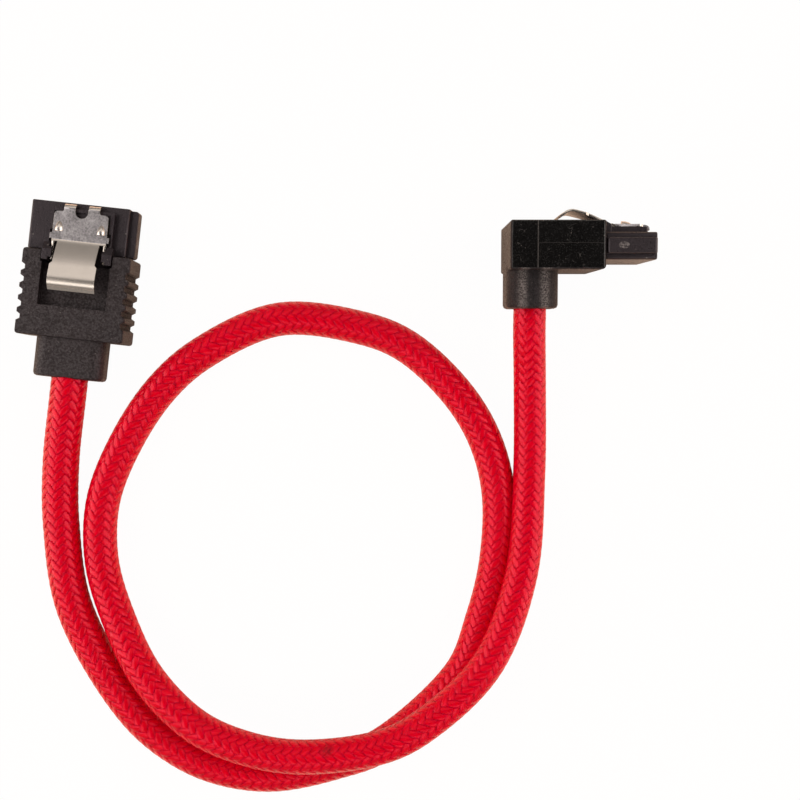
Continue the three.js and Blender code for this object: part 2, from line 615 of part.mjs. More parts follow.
const pairStart = PAIR_DIAMETER / 2 + PAIR_GAP / 2;
const pairEnd = [
  [PAIR_SPREAD / 2, -BLOCK_LENGTH - PAIR_BEND, pairHeight],
  [PAIR_SPREAD / 2, -BLOCK_LENGTH - PAIR_LAP, pairHeight],
];
const straightPairRoute = [
  [pairStart, -straightExit + CORD_ENTRY + PAIR_GAP, GRIP_HEIGHT / 2],
  [pairStart, -straightExit + CORD_ENTRY + PAIR_GAP + PAIR_BEND, GRIP_HEIGHT / 2],
  [PAIR_SPREAD / 3, -STRAIGHT_GRIP_LENGTH + 2 * PAIR_BEND, (GRIP_HEIGHT / 2 + pairHeight) / 2],
  ...pairEnd,
];
const angledPairRoute = [
  [pairStart, -ANGLED_BOOT_PLACE, -ANGLED_BOOT_LENGTH + CORD_ENTRY + PAIR_GAP],
  [pairStart, -ANGLED_BOOT_PLACE, pairHeight - 2 * PAIR_BEND],
  [PAIR_SPREAD / 3, -ANGLED_BOOT_PLACE + PAIR_DIAMETER / 2, pairHeight - PAIR_DIAMETER / 3],
  ...pairEnd,
];

// Cable

function makeCord() {
  const points = CORD_ROUTE.map(([x, y, z]) => new THREE.Vector3(x, y, z));
  const curve = new THREE.CatmullRomCurve3(points, false, 'centripetal');
  return tube(curve, CORD_DIAMETER, CORD_SIDES, CORD_STEPS);
}

// Finishes

const nosePlastic = { color: 0x1c1918, roughness: 0.35, metalness: 0 };
const gripPlastic = { color: 0x2d2826, roughness: 0.62, metalness: 0 };
const springSteel = { color: 0xb9b2aa, roughness: 0.28, metalness: 1 };
const goldPlate = { color: 0xd9ae5b, roughness: 0.3, metalness: 1 };
const pairFoil = { color: 0xc4c6c8, roughness: 0.4, metalness: 1 };
const redBraid = { color: 0xc8001e, roughness: 0.55, metalness: 0 };

function named(name, geometry, finish) {
  const mesh = new THREE.Mesh(geometry, new THREE.MeshStandardMaterial(finish));
  mesh.name = name;
  return mesh;
}

function makePlug(prefix, gripGeometry, pairRoute) {
  const plug = new THREE.Group();
  plug.add(named(`${prefix}_nose`, makeNose(), nosePlastic));
  plug.add(named(`${prefix}_grip`, gripGeometry, gripPlastic));
  plug.add(named(`${prefix}_latch`, makeLatch(), springSteel));
  for (let i = 0; i < CONTACT_COUNT; i += 1) {
    plug.add(named(`${prefix}_contact_${i + 1}`, makeContact(i), goldPlate));
  }
  plug.add(named(`${prefix}_pair_left`, makePair(-1, pairRoute), pairFoil));
  plug.add(named(`${prefix}_pair_right`, makePair(1, pairRoute), pairFoil));
  return plug;
}

const group = new THREE.Group();

const straightPlug = makePlug('straight', makeStraightGrip(), straightPairRoute);
straightPlug.position.set(STRAIGHT_PLACE[0], STRAIGHT_PLACE[1], 0);
straightPlug.rotation.z = STRAIGHT_TURN_DEG * DEG;
group.add(straightPlug);

// The right-angle plug stands on its narrow side: its nose points along +X and its latch along +Y.
const angledPlug = makePlug('angled', makeAngledGrip(), angledPairRoute);
angledPlug.applyMatrix4(new THREE.Matrix4().makeTranslation(0, 0, gripWidth / 2));
angledPlug.matrix.multiply(new THREE.Matrix4().makeBasis(
  new THREE.Vector3(0, 0, 1),
  new THREE.Vector3(1, 0, 0),
  new THREE.Vector3(0, 1, 0),
));
angledPlug.matrix.decompose(angledPlug.position, angledPlug.quaternion, angledPlug.scale);
const leaning = new THREE.Group();
leaning.add(angledPlug);
leaning.position.set(ANGLED_PLACE[0], ANGLED_PLACE[1], 0);
leaning.rotation.x = ANGLED_LEAN_DEG * DEG;
group.add(leaning);

group.add(named('cord', makeCord(), redBraid));

export default group;
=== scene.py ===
# %% [markdown]
# A braided drive data cable, about 0.3 m long, lying in a loop and a half on a white table.
# It has a straight plug and a right-angle plug. Each plug is a black insulator nose in a
# soft moulded grip, with a bright spring steel latch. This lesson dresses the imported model:
# the cable and its red sleeve first, then the mouldings, the metal, the table and the light.

# %% Load the frame
import math

import bmesh
import bpy
import numpy as np
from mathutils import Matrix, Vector


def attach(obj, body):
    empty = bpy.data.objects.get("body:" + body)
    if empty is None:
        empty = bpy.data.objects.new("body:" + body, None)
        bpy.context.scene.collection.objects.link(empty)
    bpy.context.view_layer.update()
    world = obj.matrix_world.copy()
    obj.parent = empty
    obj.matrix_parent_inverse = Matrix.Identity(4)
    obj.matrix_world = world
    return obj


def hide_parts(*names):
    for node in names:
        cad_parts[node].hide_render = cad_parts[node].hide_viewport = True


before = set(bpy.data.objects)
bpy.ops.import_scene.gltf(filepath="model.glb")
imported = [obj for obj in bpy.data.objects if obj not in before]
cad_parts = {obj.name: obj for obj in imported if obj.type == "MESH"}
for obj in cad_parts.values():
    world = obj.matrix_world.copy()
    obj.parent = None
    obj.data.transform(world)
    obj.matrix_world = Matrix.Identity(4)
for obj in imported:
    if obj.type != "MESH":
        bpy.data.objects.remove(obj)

MM = 0.001
scene = bpy.context.scene
scene.view_settings.view_transform = "Standard"
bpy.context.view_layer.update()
print("nodes in the frame:", len(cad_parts))

# %% [markdown]
# The photograph looks straight down. The plugs' side walls show a little, more so further
# from the middle, which puts the camera about 155 mm above the table. One picture width
# covers 104 mm of the table, and that gives the lens.

# %% The camera
CAMERA_HEIGHT = 155.0
PICTURE_WIDTH = 104.0
PICTURE_MIDDLE = (8.78, -13.85)
SENSOR_WIDTH = 36.0

camera_data = bpy.data.cameras.new("camera")
camera_data.sensor_width = SENSOR_WIDTH
camera_data.lens = SENSOR_WIDTH * CAMERA_HEIGHT / PICTURE_WIDTH
camera_data.clip_start = 0.001
camera_data.clip_end = 20
camera = bpy.data.objects.new("camera", camera_data)
camera.location = (PICTURE_MIDDLE[0] * MM, PICTURE_MIDDLE[1] * MM, CAMERA_HEIGHT * MM)
scene.collection.objects.link(camera)
scene.camera = camera
print("lens:", round(camera_data.lens, 1), "mm")

# %% [markdown]
# A cable keeps its length, so its middle line comes first. It leaves the straight plug,
# lies flat round the bottom of the loop, goes once round, climbs over its own first turn
# and ends in the boot of the right-angle plug, which holds it 6 mm above the table.

# %% The middle line of the cable
CORD_ROUTE = [
    (-33.01, -8.2, 2.92), (-33.34, -11.18, 2.92), (-33.69, -14.13, 2.85), (-34.62, -21.73, 2.3),
    (-34.62, -29.83, 2.2), (-32.82, -40.73, 2.2), (-25.42, -53.43, 2.2), (-20.02, -58.23, 2.2),
    (-14.52, -60.83, 2.2), (-7.52, -61.78, 2.2), (0.88, -60.13, 2.2), (6.58, -57.93, 2.2),
    (16.58, -48.73, 2.2), (19.28, -41.93, 2.2), (21.03, -34.73, 2.2), (21.38, -25.73, 2.2),
    (19.58, -18.73, 2.2), (15.88, -12.73, 2.2), (9.48, -6.88, 2.2), (3.48, -4.53, 2.2),
    (-6.82, -3.53, 2.2), (-16.52, -7.83, 2.2), (-21.62, -12.23, 2.2), (-26.07, -18.78, 2.2),
    (-29.22, -26.63, 2.2), (-29.42, -34.33, 2.3), (-27.12, -41.63, 3), (-23.07, -48.93, 4.4),
    (-17.02, -54.73, 5.2), (-10.92, -57.33, 5.8), (-3.72, -58.33, 6.4), (6.88, -56.83, 6.85),
    (12.38, -53.93, 6.6), (19.68, -46.93, 5.8), (23.98, -36.03, 4.9), (25.18, -23.33, 3.5),
    (25.18, -11.87, 4.3), (24.93, -5.47, 6.1), (24.93, -2.47, 6.53), (24.93, 0.53, 6.71),
]
FINE_STEPS = 60             # between two points of the route, before it is cut into equal steps


def smooth_line(points, steps):
    """A centripetal curve through the points, cut into equal steps."""
    p = np.array(points, float)
    p = np.vstack([2 * p[0] - p[1], p, 2 * p[-1] - p[-2]])
    fine = []
    for i in range(1, len(p) - 2):
        around = p[i - 1:i + 3]
        gaps = np.sqrt(np.linalg.norm(np.diff(around, axis=0), axis=1))
        t0, t1, t2, t3 = 0, gaps[0], gaps[0] + gaps[1], gaps.sum()
        t = np.linspace(t1, t2, FINE_STEPS, endpoint=False)[:, None]
        a1 = (t1 - t) / (t1 - t0) * around[0] + (t - t0) / (t1 - t0) * around[1]
        a2 = (t2 - t) / (t2 - t1) * around[1] + (t - t1) / (t2 - t1) * around[2]
        a3 = (t3 - t) / (t3 - t2) * around[2] + (t - t2) / (t3 - t2) * around[3]
        b1 = (t2 - t) / (t2 - t0) * a1 + (t - t0) / (t2 - t0) * a2
        b2 = (t3 - t) / (t3 - t1) * a2 + (t - t1) / (t3 - t1) * a3
        fine.append((t2 - t) / (t2 - t1) * b1 + (t - t1) / (t2 - t1) * b2)
    fine = np.vstack(fine + [p[-2:-1]])
    run = np.concatenate([[0], np.cumsum(np.linalg.norm(np.diff(fine, axis=0), axis=1))])
    even = np.linspace(0, run[-1], steps + 1)
    return np.column_stack([np.interp(even, run, fine[:, k]) for k in range(3)]), run[-1]


BRAID_STEPS = 1060
line, cord_length = smooth_line(CORD_ROUTE, BRAID_STEPS)
print("length of the cable:", round(cord_length, 1), "mm")

# %% [markdown]
# Inside the sleeve is a smooth jacket. It shows only in the small gaps of the braid, so it
# is a plain round tube along the middle line.

# %% The jacket
JACKET_RADIUS = 1.93
TUBE_SIDES = 24
RING_STEP = 4               # one ring of the tube for so many steps of the middle line
SLEEVE_AT = [0, 30, 60, 200, 316]                   # along the cable
SLEEVE_BREADTH = [1.06, 1.05, 1.0, 0.98, 0.93]      # the twin cores make it a little oval, and it twists


def new_object(name, data):
    """A new object in the scene's own collection."""
    made = bpy.data.objects.new(name, data)
    scene.collection.objects.link(made)
    return made


def cable_frames(points):
    """Directions along the cable, to its side and upward at each point."""
    along = np.gradient(points, axis=0)
    along /= np.linalg.norm(along, axis=1)[:, None]
    side = np.cross(along, [0, 0, 1])
    side /= np.linalg.norm(side, axis=1)[:, None]
    return along, side, np.cross(side, along)


along, side, upward = cable_frames(line)
distance = np.linspace(0, cord_length, BRAID_STEPS + 1)
breadth = np.interp(distance, SLEEVE_AT, SLEEVE_BREADTH)[:, None]


def tube(name, radius, widening):
    """A closed tube along the middle line, widened sideways and flattened by the same share."""
    turn = np.linspace(0, 2 * math.pi, TUBE_SIDES, endpoint=False)
    wide = widening[::RING_STEP, None, :]
    rings = (
        line[::RING_STEP, None, :]
        + np.cos(turn)[None, :, None] * side[::RING_STEP, None, :] * wide * radius
        + np.sin(turn)[None, :, None] * upward[::RING_STEP, None, :] * (2 - wide) * radius
    )
    start = TUBE_SIDES * np.arange(len(rings) - 1)[:, None]
    here = np.arange(TUBE_SIDES)[None, :]
    there = (here + 1) % TUBE_SIDES
    quads = np.stack([start + here, start + here + TUBE_SIDES, start + there + TUBE_SIDES, start + there], -1)
    first_cap = list(range(TUBE_SIDES))
    last_cap = [TUBE_SIDES * (len(rings) - 1) + k for k in reversed(range(TUBE_SIDES))]
    faces = quads.reshape(-1, 4).tolist() + [first_cap, last_cap]
    mesh = bpy.data.meshes.new(name)
    mesh.from_pydata((rings.reshape(-1, 3) * MM).tolist(), [], faces)
    mesh.shade_smooth()
    print(name, "faces:", len(mesh.polygons))
    return new_object(name, mesh)


jacket = tube("cable_jacket", JACKET_RADIUS, np.ones_like(breadth))

# %% [markdown]
# The sleeve is a round braid of 24 flat yarns: 12 wind one way and 12 the other, and each
# goes over two and under two. Drawing that as bump alone gives a flat look where the
# picture shows lifted diamonds about 1.2 mm apart, so every yarn here is real geometry:
# a low arched ribbon on a helix, lifted and sunk as it crosses the others. A tube of lower
# fibres lies under them, where the gaps between the yarns give a view inside.

# %% The braided sleeve
YARNS_EACH_WAY = 12
LAY_LENGTH = 14.4           # one turn of a yarn along the cable
YARN_MIDDLE = 2.03          # mean radius of the yarns
YARN_LIFT = 0.05            # how far a yarn rises or sinks at a crossing
YARN_WIDTH = 0.97
WEAVE_REPEAT = 4            # over two and under two, in crossings
CROSSING_STEEPNESS = 2      # how quickly a yarn changes from over to under
YARN_MAP_STEP = 37.0        # gives each yarn its own part of the finish, in mm of the map
HAND_MAP_STEP = 500.0
YARN_ROUNDNESS = 0.5        # how far the soft yarn edges turn the light; 1 would be a hard moulded edge
UNDERLAY_RADIUS = 1.97      # the lower fibres, seen in the gaps between the yarns
YARN_SECTION = [
    (-1.0, 0.04), (-0.62, 0.085), (0.0, 0.1), (0.62, 0.085), (1.0, 0.04), (0.7, -0.06), (-0.7, -0.06),
]


def braid_family(name, hand):
    """All the yarns that wind one way, as one mesh, with a map of across and along for their finish."""
    ring = len(YARN_SECTION)
    section = np.array(YARN_SECTION)
    pitch_angle = math.atan2(2 * math.pi * YARN_MIDDLE, LAY_LENGTH)
    vertices, faces, across_map, soft_normals = [], [], [], []
    tilt = np.array([(x * YARN_ROUNDNESS, 1.0 if z > 0 else -1.0) for x, z in YARN_SECTION])
    tilt /= np.linalg.norm(tilt, axis=1)[:, None]
    for index in range(YARNS_EACH_WAY):
        turn = hand * 2 * math.pi * distance / LAY_LENGTH + 2 * math.pi * index / YARNS_EACH_WAY
        crossing = 2 * YARNS_EACH_WAY * distance / LAY_LENGTH
        wave = np.cos(2 * math.pi * (2 * index + hand * crossing - 0.5) / WEAVE_REPEAT)
        lift = hand * YARN_LIFT * np.tanh(CROSSING_STEEPNESS * wave) / math.tanh(CROSSING_STEEPNESS)
        out = np.cos(turn)[:, None] * side * breadth + np.sin(turn)[:, None] * upward * (2 - breadth)
        round_way = -np.sin(turn)[:, None] * side + np.cos(turn)[:, None] * upward
        across = math.cos(pitch_angle) * round_way - hand * math.sin(pitch_angle) * along
        middle = line + out * (YARN_MIDDLE + lift)[:, None]
        first = len(vertices) * ring * (BRAID_STEPS + 1)
        rows = (
            middle[:, None, :]
            + across[:, None, :] * (section[None, :, 0, None] * YARN_WIDTH / 2)
            + out[:, None, :] * section[None, :, 1, None]
        )
        vertices.append(rows.reshape(-1, 3))
        facing = across[:, None, :] * tilt[None, :, 0, None] + out[:, None, :] * tilt[None, :, 1, None]
        soft_normals.append(facing.reshape(-1, 3))
        start = first + ring * np.arange(BRAID_STEPS)[:, None]
        here = np.arange(ring)[None, :]
        there = (here + 1) % ring
        quads = np.stack([start + here, start + there, start + there + ring, start + here + ring], -1)
        faces.append(quads.reshape(-1, 4))
        grid = np.zeros((BRAID_STEPS + 1, ring, 2))
        grid[:, :, 0] = ((section[:, 0] + 1) / 2)[None, :]
        shift = YARN_MAP_STEP * index + HAND_MAP_STEP * (hand + 1)
        grid[:, :, 1] = distance[:, None] / math.cos(pitch_angle) + shift
        across_map.append(grid.reshape(-1, 2))
    mesh = bpy.data.meshes.new(name)
    caps = []
    for index in range(YARNS_EACH_WAY):
        base = index * ring * (BRAID_STEPS + 1)
        last = base + ring * BRAID_STEPS
        caps.append([base + k for k in reversed(range(ring))])
        caps.append([last + k for k in range(ring)])
    mesh.from_pydata((np.vstack(vertices) * MM).tolist(), [], np.vstack(faces).tolist() + caps)
    yarn_map = mesh.uv_layers.new(name="yarn")
    corner_vertex = np.zeros(len(mesh.loops), int)
    mesh.loops.foreach_get("vertex_index", corner_vertex)
    yarn_map.data.foreach_set("uv", np.vstack(across_map)[corner_vertex].ravel())
    checker = bmesh.new()
    checker.from_mesh(mesh)
    bmesh.ops.recalc_face_normals(checker, faces=checker.faces)
    checker.to_mesh(mesh)
    checker.free()
    mesh.polygons.foreach_set("use_smooth", np.ones(len(mesh.polygons), bool))
    mesh.normals_split_custom_set_from_vertices(np.vstack(soft_normals))
    print(name, "faces:", len(mesh.polygons))
    return new_object(name, mesh)


right_hand_yarns = braid_family("sleeve_yarns_right_hand", 1)
left_hand_yarns = braid_family("sleeve_yarns_left_hand", -1)
lower_fibres = tube("sleeve_lower_fibres", UNDERLAY_RADIUS, breadth)

# %% [markdown]
# The jacket and the sleeve are joined to the cable, and the CAD cord is hidden. Both ends of the cable go
# into the object.

for piece in (jacket, right_hand_yarns, left_hand_yarns, lower_fibres):
    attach(piece, "cable")
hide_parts("cord")
print("cord declared:", jacket.name)

# %% [markdown]
# Every colour is written as it looks on a screen and turned to linear light by one
# function. Another small function adds a node with its settings and links.

# %% Colour and node helpers


def screen_colour(text):
    """An sRGB hex colour as linear red, green and blue, with an alpha of 1."""
    parts = [int(text[i:i + 2], 16) / 255 for i in (1, 3, 5)]
    return tuple(c / 12.92 if c <= 0.04045 else ((c + 0.055) / 1.055) ** 2.4 for c in parts) + (1.0,)


def add(tree, kind, inputs=None, links=None, **settings):
    """Adds a node of this kind, sets it, and joins its inputs to (node, output) pairs."""
    node = tree.nodes.new(kind)
    for key, value in settings.items():
        setattr(node, key, value)
    for key, value in (inputs or {}).items():
        node.inputs[key].default_value = value
    for key, (source, output) in (links or {}).items():
        tree.links.new(source.outputs[output], node.inputs[key])
    return node


def new_material(name, colour, roughness, metallic=0.0):
    """A material with one surface shader; returns it with its tree and shader."""
    material = bpy.data.materials.new(name)
    material.use_nodes = True
    tree = material.node_tree
    shader = tree.nodes["Principled BSDF"]
    shader.inputs["Base Color"].default_value = screen_colour(colour)
    shader.inputs["Roughness"].default_value = roughness
    shader.inputs["Metallic"].default_value = metallic
    return material, tree, shader


def wear(made, material):
    """Gives a piece one material."""
    made.data.materials.clear()
    made.data.materials.append(material)


print("white is", [round(c, 2) for c in screen_colour("#ffffff")])

# %% [markdown]
# The sleeve yarn is dyed polyester, many fine filaments laid side by side. Filaments give
# each yarn fine lines along its length and a soft sheen. A filament is about 0.03 mm, too
# fine to show, so the lines are drawn about 0.1 mm apart. Dyed polyester shines in its own
# colour, so the mirrored light is tinted too, and it fades towards the edges of a yarn.

# %% Braided polyester yarn
FILAMENT_LINES = 8.0        # lines across one yarn
YARN_RED = "#dc001e"
YARN_LIGHT = "#ee1236"
YARN_EDGE_SHADE = "#d2001f"
YARN_GLINT = "#ff6880"
YARN_SHEEN = "#ff9fb4"
YARN_SHINE = 0.85           # in the middle of a yarn

braided_polyester, tree, shader = new_material("braided_polyester_yarn", YARN_RED, 0.2)
shader.inputs["Anisotropic"].default_value = 0.5
shader.inputs["Specular Tint"].default_value = screen_colour(YARN_GLINT)
shader.inputs["Sheen Weight"].default_value = 0.02
shader.inputs["Sheen Roughness"].default_value = 0.3
shader.inputs["Sheen Tint"].default_value = screen_colour(YARN_SHEEN)
shader.inputs["Subsurface Weight"].default_value = 0.6
shader.inputs["Subsurface Scale"].default_value = 0.5 * MM
shader.inputs["Subsurface Radius"].default_value = (1.0, 0.15, 0.2)
across_yarn = add(tree, "ShaderNodeTangent", direction_type="UV_MAP", uv_map="yarn")
tree.links.new(across_yarn.outputs["Tangent"], shader.inputs["Tangent"])
yarn_map = add(tree, "ShaderNodeUVMap", uv_map="yarn")
yarn_parts = add(tree, "ShaderNodeSeparateXYZ", links={"Vector": (yarn_map, "UV")})
filament_scale = add(tree, "ShaderNodeVectorMath", operation="MULTIPLY",
                     inputs={1: (FILAMENT_LINES, 0.35, 1.0)}, links={0: (yarn_map, "UV")})
filaments = add(tree, "ShaderNodeTexNoise", inputs={"Scale": 1.0, "Detail": 2.0},
                links={"Vector": (filament_scale, "Vector")})
mottle_scale = add(tree, "ShaderNodeVectorMath", operation="MULTIPLY",
                   inputs={1: (1.0, 0.9, 1.0)}, links={0: (yarn_map, "UV")})
mottle = add(tree, "ShaderNodeTexNoise", inputs={"Scale": 1.0, "Detail": 1.0},
             links={"Vector": (mottle_scale, "Vector")})
edge_fall = add(tree, "ShaderNodeMath", operation="PINGPONG", inputs={1: 0.5},
                links={0: (yarn_parts, "X")})
edge_ramp = add(tree, "ShaderNodeMapRange", links={"Value": (edge_fall, "Value")},
                inputs={"From Min": 0.0, "From Max": 0.3, "To Min": 0.0, "To Max": 1.0})
shine = add(tree, "ShaderNodeMath", operation="MULTIPLY", inputs={1: YARN_SHINE},
            links={0: (edge_ramp, "Result")})
tree.links.new(shine.outputs["Value"], shader.inputs["Specular IOR Level"])
# Each yarn is painted a shade darker towards its edges: painted shade where it dips under its neighbours.
edge_shaded_colour = add(tree, "ShaderNodeMix", data_type="RGBA",
                  inputs={6: screen_colour(YARN_EDGE_SHADE), 7: screen_colour(YARN_RED)},
                  links={0: (edge_ramp, "Result")})
streak_range = add(tree, "ShaderNodeMapRange", links={"Value": (filaments, "Fac")},
                   inputs={"From Min": 0.5, "From Max": 0.75, "To Min": 0.0, "To Max": 0.55})
streak_colour = add(tree, "ShaderNodeMix", data_type="RGBA", inputs={7: screen_colour(YARN_LIGHT)},
                    links={0: (streak_range, "Result"), 6: (edge_shaded_colour, 2)})
mottle_range = add(tree, "ShaderNodeMapRange", links={"Value": (mottle, "Fac")},
                   inputs={"From Min": 0.3, "From Max": 0.7, "To Min": 0.9, "To Max": 1.06})
mottled = add(tree, "ShaderNodeVectorMath", operation="SCALE",
              links={0: (streak_colour, 2), "Scale": (mottle_range, "Result")})
yarn_bump = add(tree, "ShaderNodeBump", inputs={"Strength": 0.3, "Distance": 0.03 * MM},
                links={"Height": (filaments, "Fac")})
tree.links.new(yarn_bump.outputs["Normal"], shader.inputs["Normal"])
print("filament lines per yarn:", FILAMENT_LINES)

# %% [markdown]
# A small dark smudge is rubbed into the sleeve at the bottom of the loop. It is a ball of
# darker colour around one spot, broken up by a fine noise, so that it has no clear rim.

# %% The smudge on the sleeve
SMUDGE_PLACE = (-0.25, -56.8, 8.5)
SMUDGE_SIZE = 1.1
SMUDGE_COLOUR = "#3a1a1c"

place = add(tree, "ShaderNodeTexCoord")
smudge_distance = add(tree, "ShaderNodeVectorMath", operation="DISTANCE",
                      inputs={1: tuple(v * MM for v in SMUDGE_PLACE)}, links={0: (place, "Object")})
smudge_noise = add(tree, "ShaderNodeTexNoise", inputs={"Scale": 2500.0, "Detail": 2.0},
                   links={"Vector": (place, "Object")})
smudge_fall = add(tree, "ShaderNodeMapRange", links={"Value": (smudge_distance, "Value")},
                  inputs={"From Min": SMUDGE_SIZE * MM, "From Max": 0.3 * SMUDGE_SIZE * MM,
                          "To Min": 0.0, "To Max": 0.9})
smudge = add(tree, "ShaderNodeMath", operation="MULTIPLY",
             links={0: (smudge_fall, "Result"), 1: (smudge_noise, "Fac")})
dirty = add(tree, "ShaderNodeMix", data_type="RGBA", inputs={7: screen_colour(SMUDGE_COLOUR)},
            links={0: (smudge, "Value"), 6: (mottled, "Vector")})
tree.links.new(dirty.outputs[2], shader.inputs["Base Color"])
print("smudge at:", SMUDGE_PLACE, "mm")

# %% [markdown]
# Between the yarns lie lower fibres of the same dyed polyester. No filaments can be told
# apart there, so they get the plain yarn colour and almost no shine. The jacket of red PVC
# comes through only in small gaps, so one dark red is enough for it.

# %% The fibres and the jacket under the yarns
JACKET_RED = "#a80018"

jacket_pvc, _, _ = new_material("extruded_jacket_under_the_sleeve", JACKET_RED, 0.7)
fibre_gaps, _, shader = new_material("polyester_fibres_between_the_yarns", YARN_RED, 0.8)
shader.inputs["Specular IOR Level"].default_value = 0.1
wear(lower_fibres, fibre_gaps)
wear(jacket, jacket_pvc)
wear(right_hand_yarns, braided_polyester)
wear(left_hand_yarns, braided_polyester)
print("red finishes:", braided_polyester.name, fibre_gaps.name, jacket_pvc.name)

# %% [markdown]
# The grips are soft PVC, moulded over the insulator in a spark-eroded tool. That leaves an
# even grain of about 0.2 mm, so the boots glitter softly where light rakes over them. Each
# plastic here starts from the same tree: a grain that sets the roughness and the bump, and
# a slow cloudiness of the colour. Dust, marks, lines and painted glints of the grain are
# then laid over the colour.

# %% Black plastic and its marks
GRAIN = 0.2                 # spacing of the eroded grain
CLOUD = 2.5                 # size of the cloudy patches
DUST_GREY = "#8d8680"


def plastic(name, colour, roughness, grain_depth):
    """Black plastic with an eroded grain and a slight cloudiness; returns what the marks build on."""
    material, tree, shader = new_material(name, colour, roughness)
    place = add(tree, "ShaderNodeTexCoord")
    grain = add(tree, "ShaderNodeTexNoise", links={"Vector": (place, "Object")},
                inputs={"Scale": 1 / (GRAIN * MM), "Detail": 4.0, "Roughness": 0.65})
    cloud = add(tree, "ShaderNodeTexNoise", inputs={"Scale": 1 / (CLOUD * MM), "Detail": 3.0},
                links={"Vector": (place, "Object")})
    cloud_range = add(tree, "ShaderNodeMapRange", links={"Value": (cloud, "Fac")},
                      inputs={"From Min": 0.3, "From Max": 0.7, "To Min": 0.75, "To Max": 1.25})
    base = add(tree, "ShaderNodeVectorMath", operation="SCALE",
               inputs={0: screen_colour(colour)[:3]}, links={"Scale": (cloud_range, "Result")})
    rough = add(tree, "ShaderNodeMapRange", links={"Value": (grain, "Fac")},
                inputs={"From Min": 0.35, "From Max": 0.65,
                        "To Min": roughness - 0.12, "To Max": roughness + 0.12})
    tree.links.new(rough.outputs["Result"], shader.inputs["Roughness"])
    height = add(tree, "ShaderNodeMath", operation="MULTIPLY", inputs={1: grain_depth},
                 links={0: (grain, "Fac")})
    return material, tree, shader, place, (base, "Vector"), (height, "Value")


def finish_plastic(tree, shader, colour, height):
    """Joins the finished colour and the height, which is in mm, to the surface."""
    tree.links.new(colour[0].outputs[colour[1]], shader.inputs["Base Color"])
    bump = add(tree, "ShaderNodeBump", inputs={"Strength": 1.0, "Distance": MM}, links={"Height": height})
    tree.links.new(bump.outputs["Normal"], shader.inputs["Normal"])


def over(tree, below, mask, colour):
    """A colour laid over another one where the mask is 1."""
    mixed = add(tree, "ShaderNodeMix", data_type="RGBA", inputs={7: screen_colour(colour)},
                links={0: mask, 6: below})
    return mixed, 2


def speckle(tree, place, spacing, low, high, most):
    """A mask of small spots, up to a given strength."""
    spots = add(tree, "ShaderNodeTexVoronoi", inputs={"Scale": 1 / (spacing * MM)},
                links={"Vector": (place, "Object")})
    mask = add(tree, "ShaderNodeMapRange", links={"Value": (spots, "Distance")},
               inputs={"From Min": high, "From Max": low, "To Min": 0.0, "To Max": most})
    return mask, "Result"


def thin_line(tree, axis_value, at, half_width, strength):
    """A mask that is set within a small distance of one plane."""
    near = add(tree, "ShaderNodeMath", operation="COMPARE", inputs={1: at * MM, 2: half_width * MM},
               links={0: axis_value})
    line_mask = add(tree, "ShaderNodeMath", operation="MULTIPLY", inputs={1: strength},
                    links={0: (near, "Value")})
    return line_mask, "Value"


print("grain spacing:", GRAIN, "mm")

# %% [markdown]
# The straight grip has finger ribs on its side walls. The light comes mostly from the
# sides, so it would run deep in between the ribs; a shade that follows the distance from
# the plug's middle takes the shine away there, as the real ribs shade each other. The boot
# of the right-angle grip is made in two halves. Their rounded shape comes later, with the
# solids; here the crest of each lobe gets a painted highlight, broken into glitter, and a
# thin dark parting line runs between them, both as colour only.

# %% The grained grips
GRIP_BLACK = "#171010"
GRIP_ROUGHNESS = 0.42
GRIP_PAINTED_GLINT = "#6f6664"
GRIP_TINT = "#fff5fb"
PLUG_PLACE = (-31.62, 4.63, 0)          # the straight plug, and the direction across it
PLUG_SIDEWAYS = (0.994, -0.108, 0)
GRIP_TOP = 5.85
RIB_CREST = 6.8             # from the middle of the plug
RIB_FLOOR = 6.35
BOOT_BLACK = "#0f0a0a"
BOOT_PAINTED_HIGHLIGHT = "#6c6461"
PARTING_BLACK = "#030303"
BOOT_PARTING = 24.93        # middle of the right-angle boot
BOOT_TOP_END = 2.4          # the boot lies on this side of the grip
HALF_LOBE = 1.35


def rib_shade(tree, place):
    """How much the straight grip shines: less on its side walls, least between the finger ribs."""
    from_plug = add(tree, "ShaderNodeVectorMath", operation="SUBTRACT", links={0: (place, "Object")},
                    inputs={1: tuple(v * MM for v in PLUG_PLACE)})
    across = add(tree, "ShaderNodeVectorMath", operation="DOT_PRODUCT", inputs={1: PLUG_SIDEWAYS},
                 links={0: (from_plug, "Vector")})
    outward = add(tree, "ShaderNodeMath", operation="ABSOLUTE", links={0: (across, "Value")})
    on_wall = add(tree, "ShaderNodeMapRange", links={"Value": (outward, "Value")},
                  inputs={"From Min": (RIB_FLOOR - 0.15) * MM, "From Max": (RIB_FLOOR - 0.05) * MM})
    in_gap = add(tree, "ShaderNodeMapRange", links={"Value": (outward, "Value")},
                 inputs={"From Min": RIB_FLOOR * MM, "From Max": RIB_CREST * MM,
                         "To Min": 0.9, "To Max": 0.2})
    parts = add(tree, "ShaderNodeSeparateXYZ", links={"Vector": (place, "Object")})
    below_top = add(tree, "ShaderNodeMath", operation="LESS_THAN", inputs={1: (GRIP_TOP - 0.2) * MM},
                    links={0: (parts, "Z")})
    wall = add(tree, "ShaderNodeMath", operation="MULTIPLY",
               links={0: (on_wall, "Result"), 1: (below_top, "Value")})
    shaded = add(tree, "ShaderNodeMath", operation="MULTIPLY",
                 links={0: (wall, "Value"), 1: (in_gap, "Result")})
    shade = add(tree, "ShaderNodeMath", operation="SUBTRACT", inputs={0: 1.0},
                links={1: (shaded, "Value")})
    return shade, "Value"


